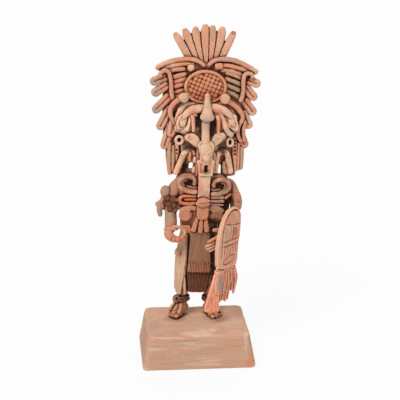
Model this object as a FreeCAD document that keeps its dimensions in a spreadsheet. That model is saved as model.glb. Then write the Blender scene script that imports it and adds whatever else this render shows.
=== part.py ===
import FreeCAD, Part
import math
import os
from types import SimpleNamespace

V = FreeCAD.Vector

# Driving sizes in millimetres, angles in degrees and counts.
SIZES = {
    # Base block, slab built and hollow
    "base_width": 120.0,
    "base_depth": 96.0,
    "base_top_width": 106.0,
    "base_top_depth": 88.0,
    "base_side_height": 35.0,
    "base_crown": 5.0,
    "base_wall": 8.0,
    "base_rounding": 5.0,
    "plateau_width": 80.0,
    "plateau_depth": 60.0,
    "floor_thickness": 8.0,
    "vent_bore": 6.0,
    # Stance of the figure on the base
    "figure_set_back": 12.0,
    "figure_lean": 2.3,
    "luting_gap": 0.15,
    # Legs and feet
    "stance_half": 12.6,
    "leg_size": 8.6,
    "foot_length": 22.5,
    "foot_width": 10.5,
    "foot_splay": 36.0,
    "ankle_height": 14.0,
    "instep_height": 4.5,
    "toe_size": 2.6,
    "toe_length": 4.5,
    "strap_width": 3.2,
    "strap_thickness": 1.6,
    "cuff_wall": 2.8,
    "cuff_height": 5.5,
    # Body and clothes, each height above the one below it
    "skirt_hem": 28.0,
    "hip_height": 96.0,
    "belt_rise": 37.0,
    "belt_height": "=hip_height + belt_rise",
    "shoulder_rise": 23.0,
    "shoulder_height": "=belt_height + shoulder_rise",
    "core_reach": 9.0,
    "back_reach": 9.0,
    "core_corner": 4.0,
    "hip_half": 17.0,
    "waist_half": 20.0,
    "shoulder_half": 27.0,
    "skirt_half": 14.0,
    "pleat_depth": 1.2,
    "pleat_count": 14,
    "apron_half": 12.2,
    "apron_waist_half": 6.2,
    "apron_hem": 54.0,
    "apron_thickness": 3.0,
    "fringe_length": 9.0,
    "fringe_gap": 0.7,
    "fringe_count": 11,
    "cloak_hem": 25.0,
    "cloak_half": 22.0,
    "cloak_thickness": 4.0,
    "cloak_fold": 1.4,
    "fold_count": 5,
    "flap_thickness": 2.6,
    "flap_drop": 1.0,
    "flap_height": "=hip_height - cloak_hem - flap_drop",
    "belt_coil": 3.1,
    "belt_half": 24.5,
    "hip_coil": 4.4,
    "hip_scroll": 8.6,
    "collar_coil": 5.4,
    "collar_scroll": 11.6,
    "knot_width": 14.2,
    "knot_height": 9.6,
    "knot_thickness": 7.0,
    "tab_width": 12.2,
    "tab_height": 11.6,
    "tab_thickness": 4.6,
    "tassel_length": 16.5,
    "tassel_width": 5.6,
    "tassel_thickness": 4.2,
    # Neck, tongue strip and masks
    "neck_half": 7.0,
    "neck_height": 49.0,
    "strip_half": 6.2,
    "strip_thickness": 4.0,
    "mouth_half": 8.2,
    "mouth_height": 13.0,
    "mouth_thickness": 7.0,
    "mouth_bar": 3.0,
    "tooth_count": 2,
    "beast_half": 8.2,
    "beast_height": 21.6,
    "beast_thickness": 12.0,
    "beast_clear": 6.65,
    "ear_width": 10.8,
    "ear_height": 12.4,
    "ear_thickness": 4.4,
    "throat_size": 8.8,
    "face_half": 30.0,
    "face_height": 45.0,
    "brow_thickness": 8.0,
    "snout_half": 7.5,
    "trunk_half": 3.4,
    "trunk_thickness": 15.0,
    "fang_length": 21.0,
    "fang_width": 4.4,
    "fang_thickness": 4.4,
    "lip_coil": 4.2,
    "eye_coil": 1.8,
    "iris_size": 2.8,
    "iris_thickness": 1.6,
    "knob_size": 10.0,
    "knob_thickness": 8.0,
    "tail_coil": 4.6,
    "spool_size": 9.2,
    "spool_bore": 4.6,
    "spool_length": 11.0,
    "strap_plate_width": 5.6,
    "strap_plate_thickness": 2.6,
    "strap_plate_height": 30.0,
    "arch_coil": 4.0,
    "arch_height": 22.0,
    "drop_width": 4.4,
    "drop_length": 10.0,
    "drop_thickness": 3.2,
    # Headdress
    "slab_set_back": 2.0,
    "slab_thickness": 7.0,
    "headdress_half": 41.0,
    "headdress_rise": 100.0,
    "slab_over": 26.5,
    "crest_root_over": -7.0,
    "crest_notch": 37.5,
    "window_width": 8.0,
    "window_height": 26.0,
    "plaque_half_width": 22.5,
    "plaque_half_height": 17.5,
    "plaque_thickness": 7.0,
    "plaque_rim": 2.8,
    "groove_width": 1.0,
    "groove_depth": 1.1,
    "lattice_pitch": 5.2,
    "feather_coil": 4.1,
    "feather_slit": 0.6,
    "feather_gap": 0.4,
    "feather_length": 21.0,
    "feather_growth": 0.8,
    "feather_count": 5,
    "feather_first_turn": 28.0,
    "feather_turn_step": 10.5,
    "row_count": 5,
    "frame_coil": 4.4,
    "lock_coil": 4.4,
    "lock_clear": 1.8,
    "lock_length": "=neck_height - spool_size - lock_clear",
    "top_coil_count": 3,
    "top_knob_size": 7.6,
    "top_knob_thickness": 6.6,
    "crest_radius": 25.0,
    "crest_length": 44.5,
    "crest_width": 7.4,
    "crest_thickness": 5.2,
    "crest_count": 7,
    "crest_first": -29.0,
    "crest_step": 8.8,
    # Arms, hands and shield
    "arm_size": 11.0,
    "arm_half": 31.0,
    "left_arm_half": 36.0,
    "elbow_drop": 36.0,
    "elbow_height": "=shoulder_height - elbow_drop",
    "wrist_drop": 17.0,
    "wrist_height": "=elbow_height - wrist_drop",
    "wrist_reach": 17.0,
    "armband_wall": 2.6,
    "armband_height": 7.0,
    "bead_size": 6.0,
    "bead_thickness": 4.0,
    "pad_size": 10.5,
    "hand_coil": 6.6,
    "thumb_coil": 5.6,
    "fist_half_width": 7.4,
    "fist_half_height": 7.0,
    "palm_thickness": 6.5,
    "palm_width": 11.0,
    "palm_height": 15.0,
    "finger_coil": 3.2,
    "finger_length": 15.0,
    "finger_gap": 0.9,
    "finger_count": 4,
    "shield_width": 31.0,
    "shield_height": 63.0,
    "shield_thickness": 3.6,
    "shield_turn": 44.0,
    "shield_tilt": 4.0,
    "shield_side": 30.0,
    "shield_reach": 20.0,
    "shield_drop": 24.5,
    "shield_rise": "=elbow_height - shield_drop",
    "shield_rim": 2.6,
    "shield_bevel": 0.8,
    "relief_height": 2.0,
    "boss_size": 11.0,
    "band_width": 4.6,
    "oval_turn": 34.0,
    "binding_size": 5.0,
    "tuft_width": 3.2,
    "tuft_thickness": 2.6,
    "tuft_gap": 0.4,
    "tuft_clear": 25.0,
    "tuft_length": "=shield_rise - shield_height / 2 - binding_size - tuft_clear",
    "tuft_count": 7,
    "sweep_extra": 10.0,
    "sweep_length": "=tuft_length + sweep_extra",
    "sweep_count": 5,
    "sweep_lean": 15.0,
}

doc = FreeCAD.newDocument("rain_god_statuette")
sheet = doc.addObject("Spreadsheet::Sheet", "Sizes")
for row, (alias, number) in enumerate(SIZES.items(), start=1):
    sheet.set(f"A{row}", alias)
    sheet.set(f"B{row}", str(number))
    sheet.setAlias(f"B{row}", alias)
doc.recompute()
d = SimpleNamespace(**{alias: float(sheet.get(alias)) for alias in SIZES})

# The figure stands on the crown, set back from the middle, and leans to its left.
FIGURE = (
    "placement(vector(0; Sizes.figure_set_back; Sizes.base_side_height + Sizes.base_crown); "
    "rotation(vector(0; 1; 0); Sizes.figure_lean))"
)
ON_BASE = "placement(vector(0; 0; 0); rotation(vector(0; 0; 1); 0))"

# Seats, as distances in front of the figure's middle plane.
CORE = "Sizes.core_reach"
SLAB = "(-Sizes.slab_set_back)"
FEATHER_FRONT = "(Sizes.feather_coil - Sizes.slab_set_back)"
APRON_FRONT = "(Sizes.core_reach + Sizes.apron_thickness)"

# Height of the top of the beast's head in the figure's frame.
BEAST_TOP = "(Sizes.shoulder_height + Sizes.neck_height - Sizes.beast_clear)"

SIDES = {"right": -1, "left": 1}
nodes = []


def head_up(share):
    """Height of a share of the headdress, which stands on the foot of the large mask."""
    return d.shoulder_height + d.neck_height + (share - 0.49) * d.headdress_rise


def seat_at(thing, seat):
    """Puts a flat back on the plane that lies seat in front of the middle plane."""
    thing.setExpression("Placement", f"placement(vector(0; -({seat}); 0); rotation(vector(0; 0; 1); 0))")
    return thing


def node(label, parts, frame=FIGURE):
    """One named node: its solids as a group, placed in the figure's frame."""
    group = doc.addObject("Part::Compound", label)
    group.Links = parts
    group.Label = label
    group.setExpression("Placement", frame)
    nodes.append(group)
    return group


def polygon(points, closed=True):
    outline = doc.addObject("Part::Polygon", "outline")
    outline.Nodes = points
    outline.Close = closed
    return outline


def front(pairs):
    """Points of a front view, from pairs across and up."""
    return [V(across, 0, up) for across, up in pairs]


def plan(pairs, height=0.0):
    """Points of a plan, from pairs across and back."""
    return [V(across, back, height) for across, back in pairs]


def mirrored(pairs, side):
    return [(side * across, up) for across, up in pairs]


def upright_box(left, right, low, high):
    """Corners of an upright rectangle in a front view."""
    return [(left, low), (right, low), (right, high), (left, high)]


def ellipse(across, up, half_width, half_height, corners):
    """Corners of a polygon that stands for an ellipse in a front view."""
    turn = 2 * math.pi / corners
    return [
        (across + half_width * math.cos((k + 0.5) * turn), up + half_height * math.sin((k + 0.5) * turn))
        for k in range(corners)
    ]


def inset(pairs, amount):
    """Moves each edge of an outline inward by the same amount."""
    area = sum(a[0] * b[1] - b[0] * a[1] for a, b in zip(pairs, pairs[1:] + pairs[:1]))
    inward = math.copysign(amount, area)
    moved = []
    for before, here, after in zip(pairs[-1:] + pairs[:-1], pairs, pairs[1:] + pairs[:1]):
        first = (here[0] - before[0], here[1] - before[1])
        second = (after[0] - here[0], after[1] - here[1])
        size_1, size_2 = math.hypot(*first), math.hypot(*second)
        normal_1 = (-first[1] / size_1, first[0] / size_1)
        normal_2 = (-second[1] / size_2, second[0] / size_2)
        share = inward / (1 + normal_1[0] * normal_2[0] + normal_1[1] * normal_2[1])
        moved.append(tuple(at + share * (one + two) for at, one, two in zip(here, normal_1, normal_2)))
    return moved


def plate(pairs, thickness, seat):
    """A plate of even thickness with its back on a seat."""
    slab = doc.addObject("Part::Extrusion", "plate")
    slab.Base = polygon(front(pairs))
    slab.DirMode = "Custom"
    slab.Dir = V(0, -1, 0)
    slab.setExpression("LengthFwd", thickness)
    slab.Solid = True
    return seat_at(slab, seat)


def relief(pairs, thickness, seat, bevel, both=False):
    """A flat-backed lump of clay: a plate with its front edges pressed down, and its back edges if both."""
    lump = plate(pairs, thickness, "0")
    doc.recompute()
    middle = lump.Shape.BoundBox.Center.y
    pressed = []
    for number, edge in enumerate(lump.Shape.Edges, start=1):
        if edge.BoundBox.YMax < middle or (both and edge.BoundBox.YMin > middle):
            pressed.append((number, bevel, bevel))
    worked = doc.addObject("Part::Chamfer", "lump")
    worked.Base = lump
    worked.Edges = pressed
    return seat_at(worked, seat)


def column(pairs, bottom, height):
    """An upright prism on a plan outline, from bottom up by height."""
    prism = doc.addObject("Part::Extrusion", "column")
    prism.Base = polygon(plan(pairs))
    prism.DirMode = "Custom"
    prism.Dir = V(0, 0, 1)
    prism.setExpression("LengthFwd", height)
    prism.Solid = True
    prism.setExpression("Placement", f"placement(vector(0; 0; {bottom}); rotation(vector(0; 0; 1); 0))")
    return prism


def knob(across, up, size, thickness, seat, sides=8):
    """A ball of clay pressed on to a seat."""
    return relief(ellipse(across, up, size / 2, size / 2, sides), thickness, seat, size * 0.27)


def coil(points, size, sides=8, closed=False):
    """A hand-rolled coil of clay: a polygon section swept along a bent line, a flat towards the seat."""
    spine = polygon(points, closed)
    section = doc.addObject("Part::RegularPolygon", "section")
    section.Polygon = sides
    section.setExpression("Circumradius", f"{size} / 2 / cos({180 / sides} deg)")
    along = (points[1] - points[0]).normalize()
    upright = V(0, 1, 0)
    across = upright.cross(along)
    turned = FreeCAD.Rotation(across, upright, along, "ZYX")
    turned = turned * FreeCAD.Rotation(V(0, 0, 1), 180 / sides + (90 if sides % 4 else 0))
    start = (points[0] + points[1]) * 0.5 if closed else points[0]
    section.Placement = FreeCAD.Placement(start, turned)
    sweep = doc.addObject("Part::Sweep", "coil")
    sweep.Sections = [section]
    runs = len(points) if closed else len(points) - 1
    sweep.Spine = (spine, [f"Edge{k + 1}" for k in range(runs)])
    sweep.Solid = True
    sweep.Transition = "Right corner"
    return sweep


def flat_coil(pairs, size, seat, sides=8, closed=False):
    """A coil that lies on a seat."""
    return seat_at(coil(front(pairs), size, sides, closed), f"{seat} + {size} / 2")


def skin(rings):
    """A solid of flat facets through rings of points, with equal counts and the ends closed."""
    faces = []

    def facet(*corners):
        faces.append(Part.Face(Part.makePolygon(list(corners) + [corners[0]])))

    for low, high in zip(rings, rings[1:]):
        for k in range(len(low)):
            after = (k + 1) % len(low)
            facet(low[k], low[after], high[after])
            facet(low[k], high[after], high[k])
    facet(*reversed(rings[0]))
    facet(*rings[-1])
    solid = Part.Solid(Part.Shell(faces))
    if solid.Volume < 0:
        solid.reverse()
    body = doc.addObject("Part::Feature", "skin")
    body.Shape = solid
    return body


def cut(base, *tools):
    """The base less each tool in turn."""
    for tool in tools:
        less = doc.addObject("Part::Cut", "less")
        less.Base = base
        less.Tool = tool
        base = less
    return base


def corners_of(half_width, reach_front, reach_back, corner):
    """Plan of a box with cut corners."""
    return [
        (half_width - corner, -reach_front),
        (half_width, corner - reach_front),
        (half_width, reach_back - corner),
        (half_width - corner, reach_back),
        (corner - half_width, reach_back),
        (-half_width, reach_back - corner),
        (-half_width, corner - reach_front),
        (corner - half_width, -reach_front),
    ]


# Base block


def wedge(low_width, low_depth, top_width, top_depth, height):
    """A four-sided block whose sides slope in, standing on its larger face."""
    block = doc.addObject("Part::Wedge", "block")
    block.setExpression("Xmin", f"-({low_width}) / 2")
    block.setExpression("Xmax", f"({low_width}) / 2")
    block.setExpression("Zmin", f"-({low_depth}) / 2")
    block.setExpression("Zmax", f"({low_depth}) / 2")
    block.setExpression("X2min", f"-({top_width}) / 2")
    block.setExpression("X2max", f"({top_width}) / 2")
    block.setExpression("Z2min", f"-({top_depth}) / 2")
    block.setExpression("Z2max", f"({top_depth}) / 2")
    block.Ymin = 0
    block.setExpression("Ymax", height)
    return block


def upright(block, bottom):
    block.setExpression("Placement", f"placement(vector(0; 0; {bottom}); rotation(vector(1; 0; 0); 90))")
    return block


def make_base():
    outer = upright(
        wedge("Sizes.base_width", "Sizes.base_depth", "Sizes.base_top_width", "Sizes.base_top_depth",
              "Sizes.base_side_height"), "0")
    doc.recompute()
    rounded = doc.addObject("Part::Fillet", "rounded_block")
    rounded.Base = outer
    edges = []
    for number, edge in enumerate(outer.Shape.Edges, start=1):
        if edge.BoundBox.ZMax > d.base_side_height / 2:
            edges.append((number, d.base_rounding, d.base_rounding))
    rounded.Edges = edges
    crown = upright(
        wedge("Sizes.base_top_width - 2 * Sizes.base_rounding",
              "Sizes.base_top_depth - 2 * Sizes.base_rounding",
              "Sizes.plateau_width", "Sizes.plateau_depth", "Sizes.base_crown"), "Sizes.base_side_height")
    block = doc.addObject("Part::Fuse", "crowned_block")
    block.Base = rounded
    block.Tool = crown
    inner_height = "(Sizes.base_side_height - Sizes.base_wall)"
    slope_x = "(Sizes.base_width - Sizes.base_top_width) / Sizes.base_side_height"
    slope_y = "(Sizes.base_depth - Sizes.base_top_depth) / Sizes.base_side_height"
    inner_width = "Sizes.base_width - 2 * Sizes.base_wall"
    inner_depth = "Sizes.base_depth - 2 * Sizes.base_wall"
    cavity = upright(
        wedge(inner_width, inner_depth, f"{inner_width} - {slope_x} * {inner_height}",
              f"{inner_depth} - {slope_y} * {inner_height}", inner_height), "0")
    node("base_shell", [cut(block, cavity)], ON_BASE)

    # The floor slab is luted into the open underside and holds the firing vent.
    floor = upright(
        wedge(f"{inner_width} - 2 * Sizes.luting_gap", f"{inner_depth} - 2 * Sizes.luting_gap",
              f"{inner_width} - 2 * Sizes.luting_gap - {slope_x} * Sizes.floor_thickness",
              f"{inner_depth} - 2 * Sizes.luting_gap - {slope_y} * Sizes.floor_thickness",
              "Sizes.floor_thickness"), "0")
    vent = doc.addObject("Part::Cylinder", "vent")
    vent.setExpression("Radius", "Sizes.vent_bore / 2")
    vent.setExpression("Height", "Sizes.floor_thickness")
    vent.setExpression(
        "Placement", "placement(vector(Sizes.base_width / 5; 0; 0); rotation(vector(0; 0; 1); 0))")
    node("base_floor", [cut(floor, vent)], ON_BASE)


# Legs and feet

lean = math.radians(d.figure_lean)
base_top = d.base_side_height + d.base_crown


def true_place(across, back, up):
    """A point of the leaning figure in the base's frame."""
    return V(
        across * math.cos(lean) + up * math.sin(lean),
        back + d.figure_set_back,
        base_top + up * math.cos(lean) - across * math.sin(lean),
    )


def make_leg(side):
    """One leg with its foot, as parts to be grouped: leg, cuff, foot, toes and strap."""
    across = side * d.stance_half
    leg_plan = [(across + x, y) for x, y in ellipse(0, 0, d.leg_size / 2, d.leg_size / 2, 8)]
    leg = column(leg_plan, "Sizes.ankle_height", "Sizes.skirt_hem - Sizes.ankle_height")

    cuff_half = d.leg_size / 2 + d.cuff_wall
    cuff_plan = [(across + x, y) for x, y in ellipse(0, 0, cuff_half, cuff_half, 8)]
    bore_plan = [
        (across + x, y)
        for x, y in ellipse(0, 0, d.leg_size / 2 + d.luting_gap, d.leg_size / 2 + d.luting_gap, 8)
    ]
    cuff_low = "Sizes.ankle_height + Sizes.luting_gap"
    cuff_ring = column(cuff_plan, cuff_low, "Sizes.cuff_height")
    cuff = cut(cuff_ring, column(bore_plan, cuff_low, "Sizes.cuff_height"))

    # The foot stands flat on the crown, turned out, with its ankle under the leg.
    ankle = true_place(across, 0, d.ankle_height)
    drop = d.leg_size / 2 * math.sin(lean)
    splay = math.radians(d.foot_splay) * side
    heading = V(math.sin(splay), -math.cos(splay), 0)
    sideways = V(math.cos(splay), math.sin(splay), 0)
    ankle_top = ankle.z - base_top - drop
    half = d.foot_width / 2
    heel = d.leg_size / 2 + d.cuff_wall / 2
    stations = [
        (-heel, half * 0.72, ankle_top),
        (heel, half * 0.86, ankle_top),
        (d.foot_length - heel, half, d.instep_height),
    ]
    rings = []
    for along, half_width, top in stations:
        middle = V(ankle.x, ankle.y, base_top) + heading * along
        crown_half = d.foot_width / 2 * 0.6
        rings.append([
            middle - sideways * half_width,
            middle + sideways * half_width,
            middle + sideways * half_width + V(0, 0, top * 0.55),
            middle + sideways * crown_half + V(0, 0, top),
            middle - sideways * crown_half + V(0, 0, top),
            middle - sideways * half_width + V(0, 0, top * 0.55),
        ])
    foot = skin(rings)

    toes = []
    pitch = (d.foot_width - d.toe_size) / 4
    for k in range(5):
        place = (k - 2) * pitch * 1.3
        root = V(ankle.x, ankle.y, base_top) + heading * (d.foot_length - heel) + sideways * place
        width = d.toe_size * (1.05 if (k - 2) * side == -2 else 0.84) / 2
        length = d.toe_length * (1.1 - 0.12 * abs(2 + (k - 2) * side) / 2)
        toe_rings = []
        toe_stations = [
            (0, 1.0, d.instep_height * 0.8),
            (length * 0.75, 1.0, d.toe_size),
            (length, 0.6, d.toe_size * 0.6),
        ]
        for along, grow, top in toe_stations:
            at = root + heading * along
            toe_rings.append([
                at - sideways * width * grow,
                at + sideways * width * grow,
                at + sideways * width * grow * 0.7 + V(0, 0, top),
                at - sideways * width * grow * 0.7 + V(0, 0, top),
            ])
        toes.append(skin(toe_rings))

    # The sandal strap lies on the slope of the instep.
    slope_top = V(ankle.x, ankle.y, base_top + ankle_top) + heading * heel
    slope_foot = V(ankle.x, ankle.y, base_top + d.instep_height) + heading * (d.foot_length - heel)
    run_from = slope_top + (slope_foot - slope_top) * 0.22
    run_to = slope_top + (slope_foot - slope_top) * 0.92
    rise = V(0, 0, d.strap_thickness)
    strap_rings = [
        [at - sideways * d.strap_width / 2, at + sideways * d.strap_width / 2,
         at + sideways * d.strap_width / 2 + rise, at - sideways * d.strap_width / 2 + rise]
        for at in (run_from, run_to)
    ]
    return leg, cuff, foot, toes, skin(strap_rings)


def make_legs():
    legs, cuffs, toes, straps = [], [], [], []
    for name, side in SIDES.items():
        leg, cuff, foot, foot_toes, strap = make_leg(side)
        legs.append(leg)
        cuffs.append(cuff)
        node(f"foot_{name}", [foot], ON_BASE)
        toes += foot_toes
        straps.append(strap)
    node("legs", legs)
    node("ankle_cuffs", cuffs)
    node("toes", toes, ON_BASE)
    node("sandal_straps", straps, ON_BASE)


# Body and clothes


def make_torso():
    """The body core, from the hips to the shoulders."""
    heights_and_halves = [
        (d.hip_height, d.hip_half),
        ((d.hip_height + d.belt_height) / 2, d.waist_half),
        (d.belt_height, d.waist_half),
        (d.shoulder_height - d.shoulder_rise * 0.34, d.shoulder_half),
        (d.shoulder_height, d.shoulder_half - d.core_corner / 2),
    ]
    sections = []
    for height, half in heights_and_halves:
        sections.append(polygon(plan(corners_of(half, d.core_reach, d.back_reach, d.core_corner), height)))
    torso = doc.addObject("Part::Loft", "torso_core")
    torso.Sections = sections
    torso.Solid = True
    torso.Ruled = True
    return torso


def make_underskirt():
    """A skirt with pleats across its front."""
    pitch = 2 * (d.skirt_half - d.core_corner / 2) / d.pleat_count
    start = d.core_corner / 2 - d.skirt_half
    pairs = [(-d.skirt_half, d.back_reach), (-d.skirt_half, d.core_corner / 2 - d.core_reach)]
    for k in range(int(d.pleat_count)):
        pairs.append((start + (k + 0.1) * pitch, -d.core_reach))
        pairs.append((start + (k + 0.6) * pitch, -d.core_reach))
        pairs.append((start + (k + 0.85) * pitch, d.pleat_depth - d.core_reach))
    pairs.append((d.skirt_half, d.core_corner / 2 - d.core_reach))
    pairs.append((d.skirt_half, d.back_reach))
    return column(pairs, "Sizes.skirt_hem", "Sizes.hip_height - Sizes.skirt_hem")


def make_apron():
    """The front cloth, narrow under the tab, with a cut fringe along its hem."""
    top = d.belt_height + d.knot_height / 4
    tab_foot = d.belt_height - d.knot_height / 2 - d.tab_height - d.tassel_length
    pairs = [(-d.apron_waist_half, top), (-d.apron_waist_half, tab_foot + d.tassel_length)]
    pairs.append((-d.apron_half * 0.84, tab_foot))
    pairs.append((-d.apron_half, d.apron_hem))
    width = (2 * d.apron_half - (d.fringe_count - 1) * d.fringe_gap) / d.fringe_count
    for k in range(int(d.fringe_count)):
        left = -d.apron_half + k * (width + d.fringe_gap)
        if k:
            pairs.append((left, d.apron_hem + d.fringe_length))
            pairs.append((left, d.apron_hem))
        pairs.append((left + width, d.apron_hem))
        if k < d.fringe_count - 1:
            pairs.append((left + width, d.apron_hem + d.fringe_length))
    pairs += [(d.apron_half * 0.84, tab_foot), (d.apron_waist_half, tab_foot + d.tassel_length)]
    pairs.append((d.apron_waist_half, top))
    return plate(pairs, "Sizes.apron_thickness", CORE)


def make_cloak():
    """The back cloth, flat against the body, with folds behind."""
    pitch = 2 * d.cloak_half / d.fold_count
    pairs = [(-d.cloak_half, d.back_reach)]
    for k in range(int(d.fold_count)):
        left = -d.cloak_half + k * pitch
        pairs.append((left + pitch * 0.1, d.back_reach + d.cloak_thickness - d.cloak_fold))
        pairs.append((left + pitch * 0.35, d.back_reach + d.cloak_thickness))
        pairs.append((left + pitch * 0.65, d.back_reach + d.cloak_thickness))
        pairs.append((left + pitch * 0.9, d.back_reach + d.cloak_thickness - d.cloak_fold))
    pairs.append((d.cloak_half, d.back_reach))
    return column(pairs, "Sizes.cloak_hem", "Sizes.shoulder_height - Sizes.cloak_hem")


def make_flap():
    """The edge of the cloak brought round the right leg to the apron."""
    rings = []
    clear = d.stance_half + d.leg_size / 2 + d.luting_gap
    outer = clear + d.flap_thickness + 2 * d.luting_gap
    lap_back = -d.core_reach - d.luting_gap
    lap_front = lap_back - d.flap_thickness
    edges = [
        (d.cloak_hem, d.skirt_half + d.luting_gap),
        (d.cloak_hem + d.flap_height, d.apron_half + d.luting_gap),
    ]
    for up, edge in edges:
        outline = [
            (-clear, d.back_reach),
            (-outer, d.back_reach),
            (-outer - d.flap_thickness / 2, 0),
            (-outer, lap_front * 0.7),
            (-edge - d.flap_thickness, lap_front),
            (-edge, lap_front),
            (-edge, lap_back),
            (-d.skirt_half - d.flap_thickness / 3, lap_back),
            (-clear, lap_back * 0.5),
        ]
        rings.append(plan(outline, up))
    return skin(rings)


def make_belt(side):
    """Three rows of coil beside the knot: a loop that turns back at the hip, and one row inside it."""
    pitch = d.belt_coil + d.luting_gap
    inner = d.strip_half + d.luting_gap
    turn = d.belt_half - pitch - d.belt_coil / 2
    loop = [
        (inner, d.belt_height + pitch),
        (turn, d.belt_height + pitch),
        (turn + pitch, d.belt_height + pitch * 0.45),
        (turn + pitch, d.belt_height - pitch * 0.45),
        (turn, d.belt_height - pitch),
        (inner, d.belt_height - pitch),
    ]
    row = [(inner, d.belt_height), (turn - d.belt_coil / 2, d.belt_height)]
    return [
        flat_coil(mirrored(loop, side), "Sizes.belt_coil", CORE),
        flat_coil(mirrored(row, side), "Sizes.belt_coil", CORE),
    ]


def scroll(across, up, radius, size, start_turn, turns, steps, shrink):
    """Points of a scroll that winds inward, from pairs across and up."""
    pairs = []
    for k in range(steps + 1):
        share = k / steps
        turn = math.radians(start_turn + turns * 360 * share)
        out = (radius - size / 2) * (1 - shrink * share)
        pairs.append((across + out * math.cos(turn), up + out * math.sin(turn)))
    return pairs


def make_hip_scroll(side):
    middle_up = d.belt_height - d.belt_coil * 1.5 - 3 * d.luting_gap - d.hip_scroll
    middle = d.apron_waist_half + d.luting_gap * 2 + d.hip_scroll
    pairs = scroll(middle, middle_up, d.hip_scroll, d.hip_coil, 125, -0.82, 9, 0.4)
    return flat_coil(mirrored(pairs, side), "Sizes.hip_coil", CORE)


def make_collar(side):
    low = d.belt_height + d.belt_coil * 1.5 + 3 * d.luting_gap
    middle_up = low + d.collar_scroll
    middle = d.strip_half + d.luting_gap * 2 + d.collar_scroll * 0.86
    pairs = scroll(middle, middle_up, d.collar_scroll, d.collar_coil, 225, 0.86, 9, 0.3)
    run_up = low + d.collar_coil / 2
    start = [(d.strip_half + d.luting_gap * 2, run_up), (middle * 0.8, run_up)]
    return flat_coil(mirrored(start + pairs[1:], side), "Sizes.collar_coil", CORE)


def make_body():
    torso = make_torso()
    node("torso", [torso])
    node("underskirt", [make_underskirt()])
    node("apron", [make_apron()])
    node("cloak_back", [make_cloak()])
    node("cloak_flap", [make_flap()])
    node("belt_loops", [row for side in SIDES.values() for row in make_belt(side)])
    node("hip_scrolls", [make_hip_scroll(side) for side in SIDES.values()])
    node("collar_scrolls", [make_collar(side) for side in SIDES.values()])

    # The knot sits proud of the belt, and its tab and tassels hang on the apron.
    knot_low = d.belt_height - d.knot_height / 2
    knot = [
        (d.knot_width / 2, d.belt_height - d.knot_height * 0.2),
        (d.knot_width / 2, d.belt_height + d.knot_height * 0.25),
        (d.knot_width * 0.3, d.belt_height + d.knot_height / 2),
        (-d.knot_width * 0.3, d.belt_height + d.knot_height / 2),
        (-d.knot_width / 2, d.belt_height + d.knot_height * 0.2),
        (-d.knot_width / 2, d.belt_height - d.knot_height * 0.25),
        (-d.knot_width * 0.3, knot_low),
        (d.knot_width * 0.3, knot_low),
    ]
    knot_seat = "Sizes.core_reach + max(Sizes.apron_thickness; Sizes.belt_coil; Sizes.strip_thickness)"
    node("belt_knot", [relief(knot, "Sizes.knot_thickness", knot_seat, d.knot_height / 5)])
    tab_high = knot_low - d.luting_gap
    tab_low = tab_high - d.tab_height
    tab = [
        (-d.tab_width / 2, tab_low),
        (d.tab_width / 2, tab_low),
        (d.tab_width * 0.42, tab_high),
        (-d.tab_width * 0.42, tab_high),
    ]
    node("knot_tab", [relief(tab, "Sizes.tab_thickness", APRON_FRONT, d.tab_thickness / 4)])
    tassels = []
    high = tab_low - d.luting_gap
    low = high - d.tassel_length
    for k in (-1, 0, 1):
        foot = k * (d.tassel_width + d.luting_gap)
        root = foot * 0.7
        narrow = d.tassel_width * 0.32
        tassels.append(relief([
            (foot - d.tassel_width * 0.3, low),
            (foot + d.tassel_width * 0.3, low),
            (foot + d.tassel_width / 2, low + d.tassel_width / 2),
            (root + narrow, high),
            (root - narrow, high),
            (foot - d.tassel_width / 2, low + d.tassel_width / 2),
        ], "Sizes.tassel_thickness", APRON_FRONT, d.tassel_width / 6))
    node("knot_tassels", tassels)
    return torso


# Neck and masks


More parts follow.
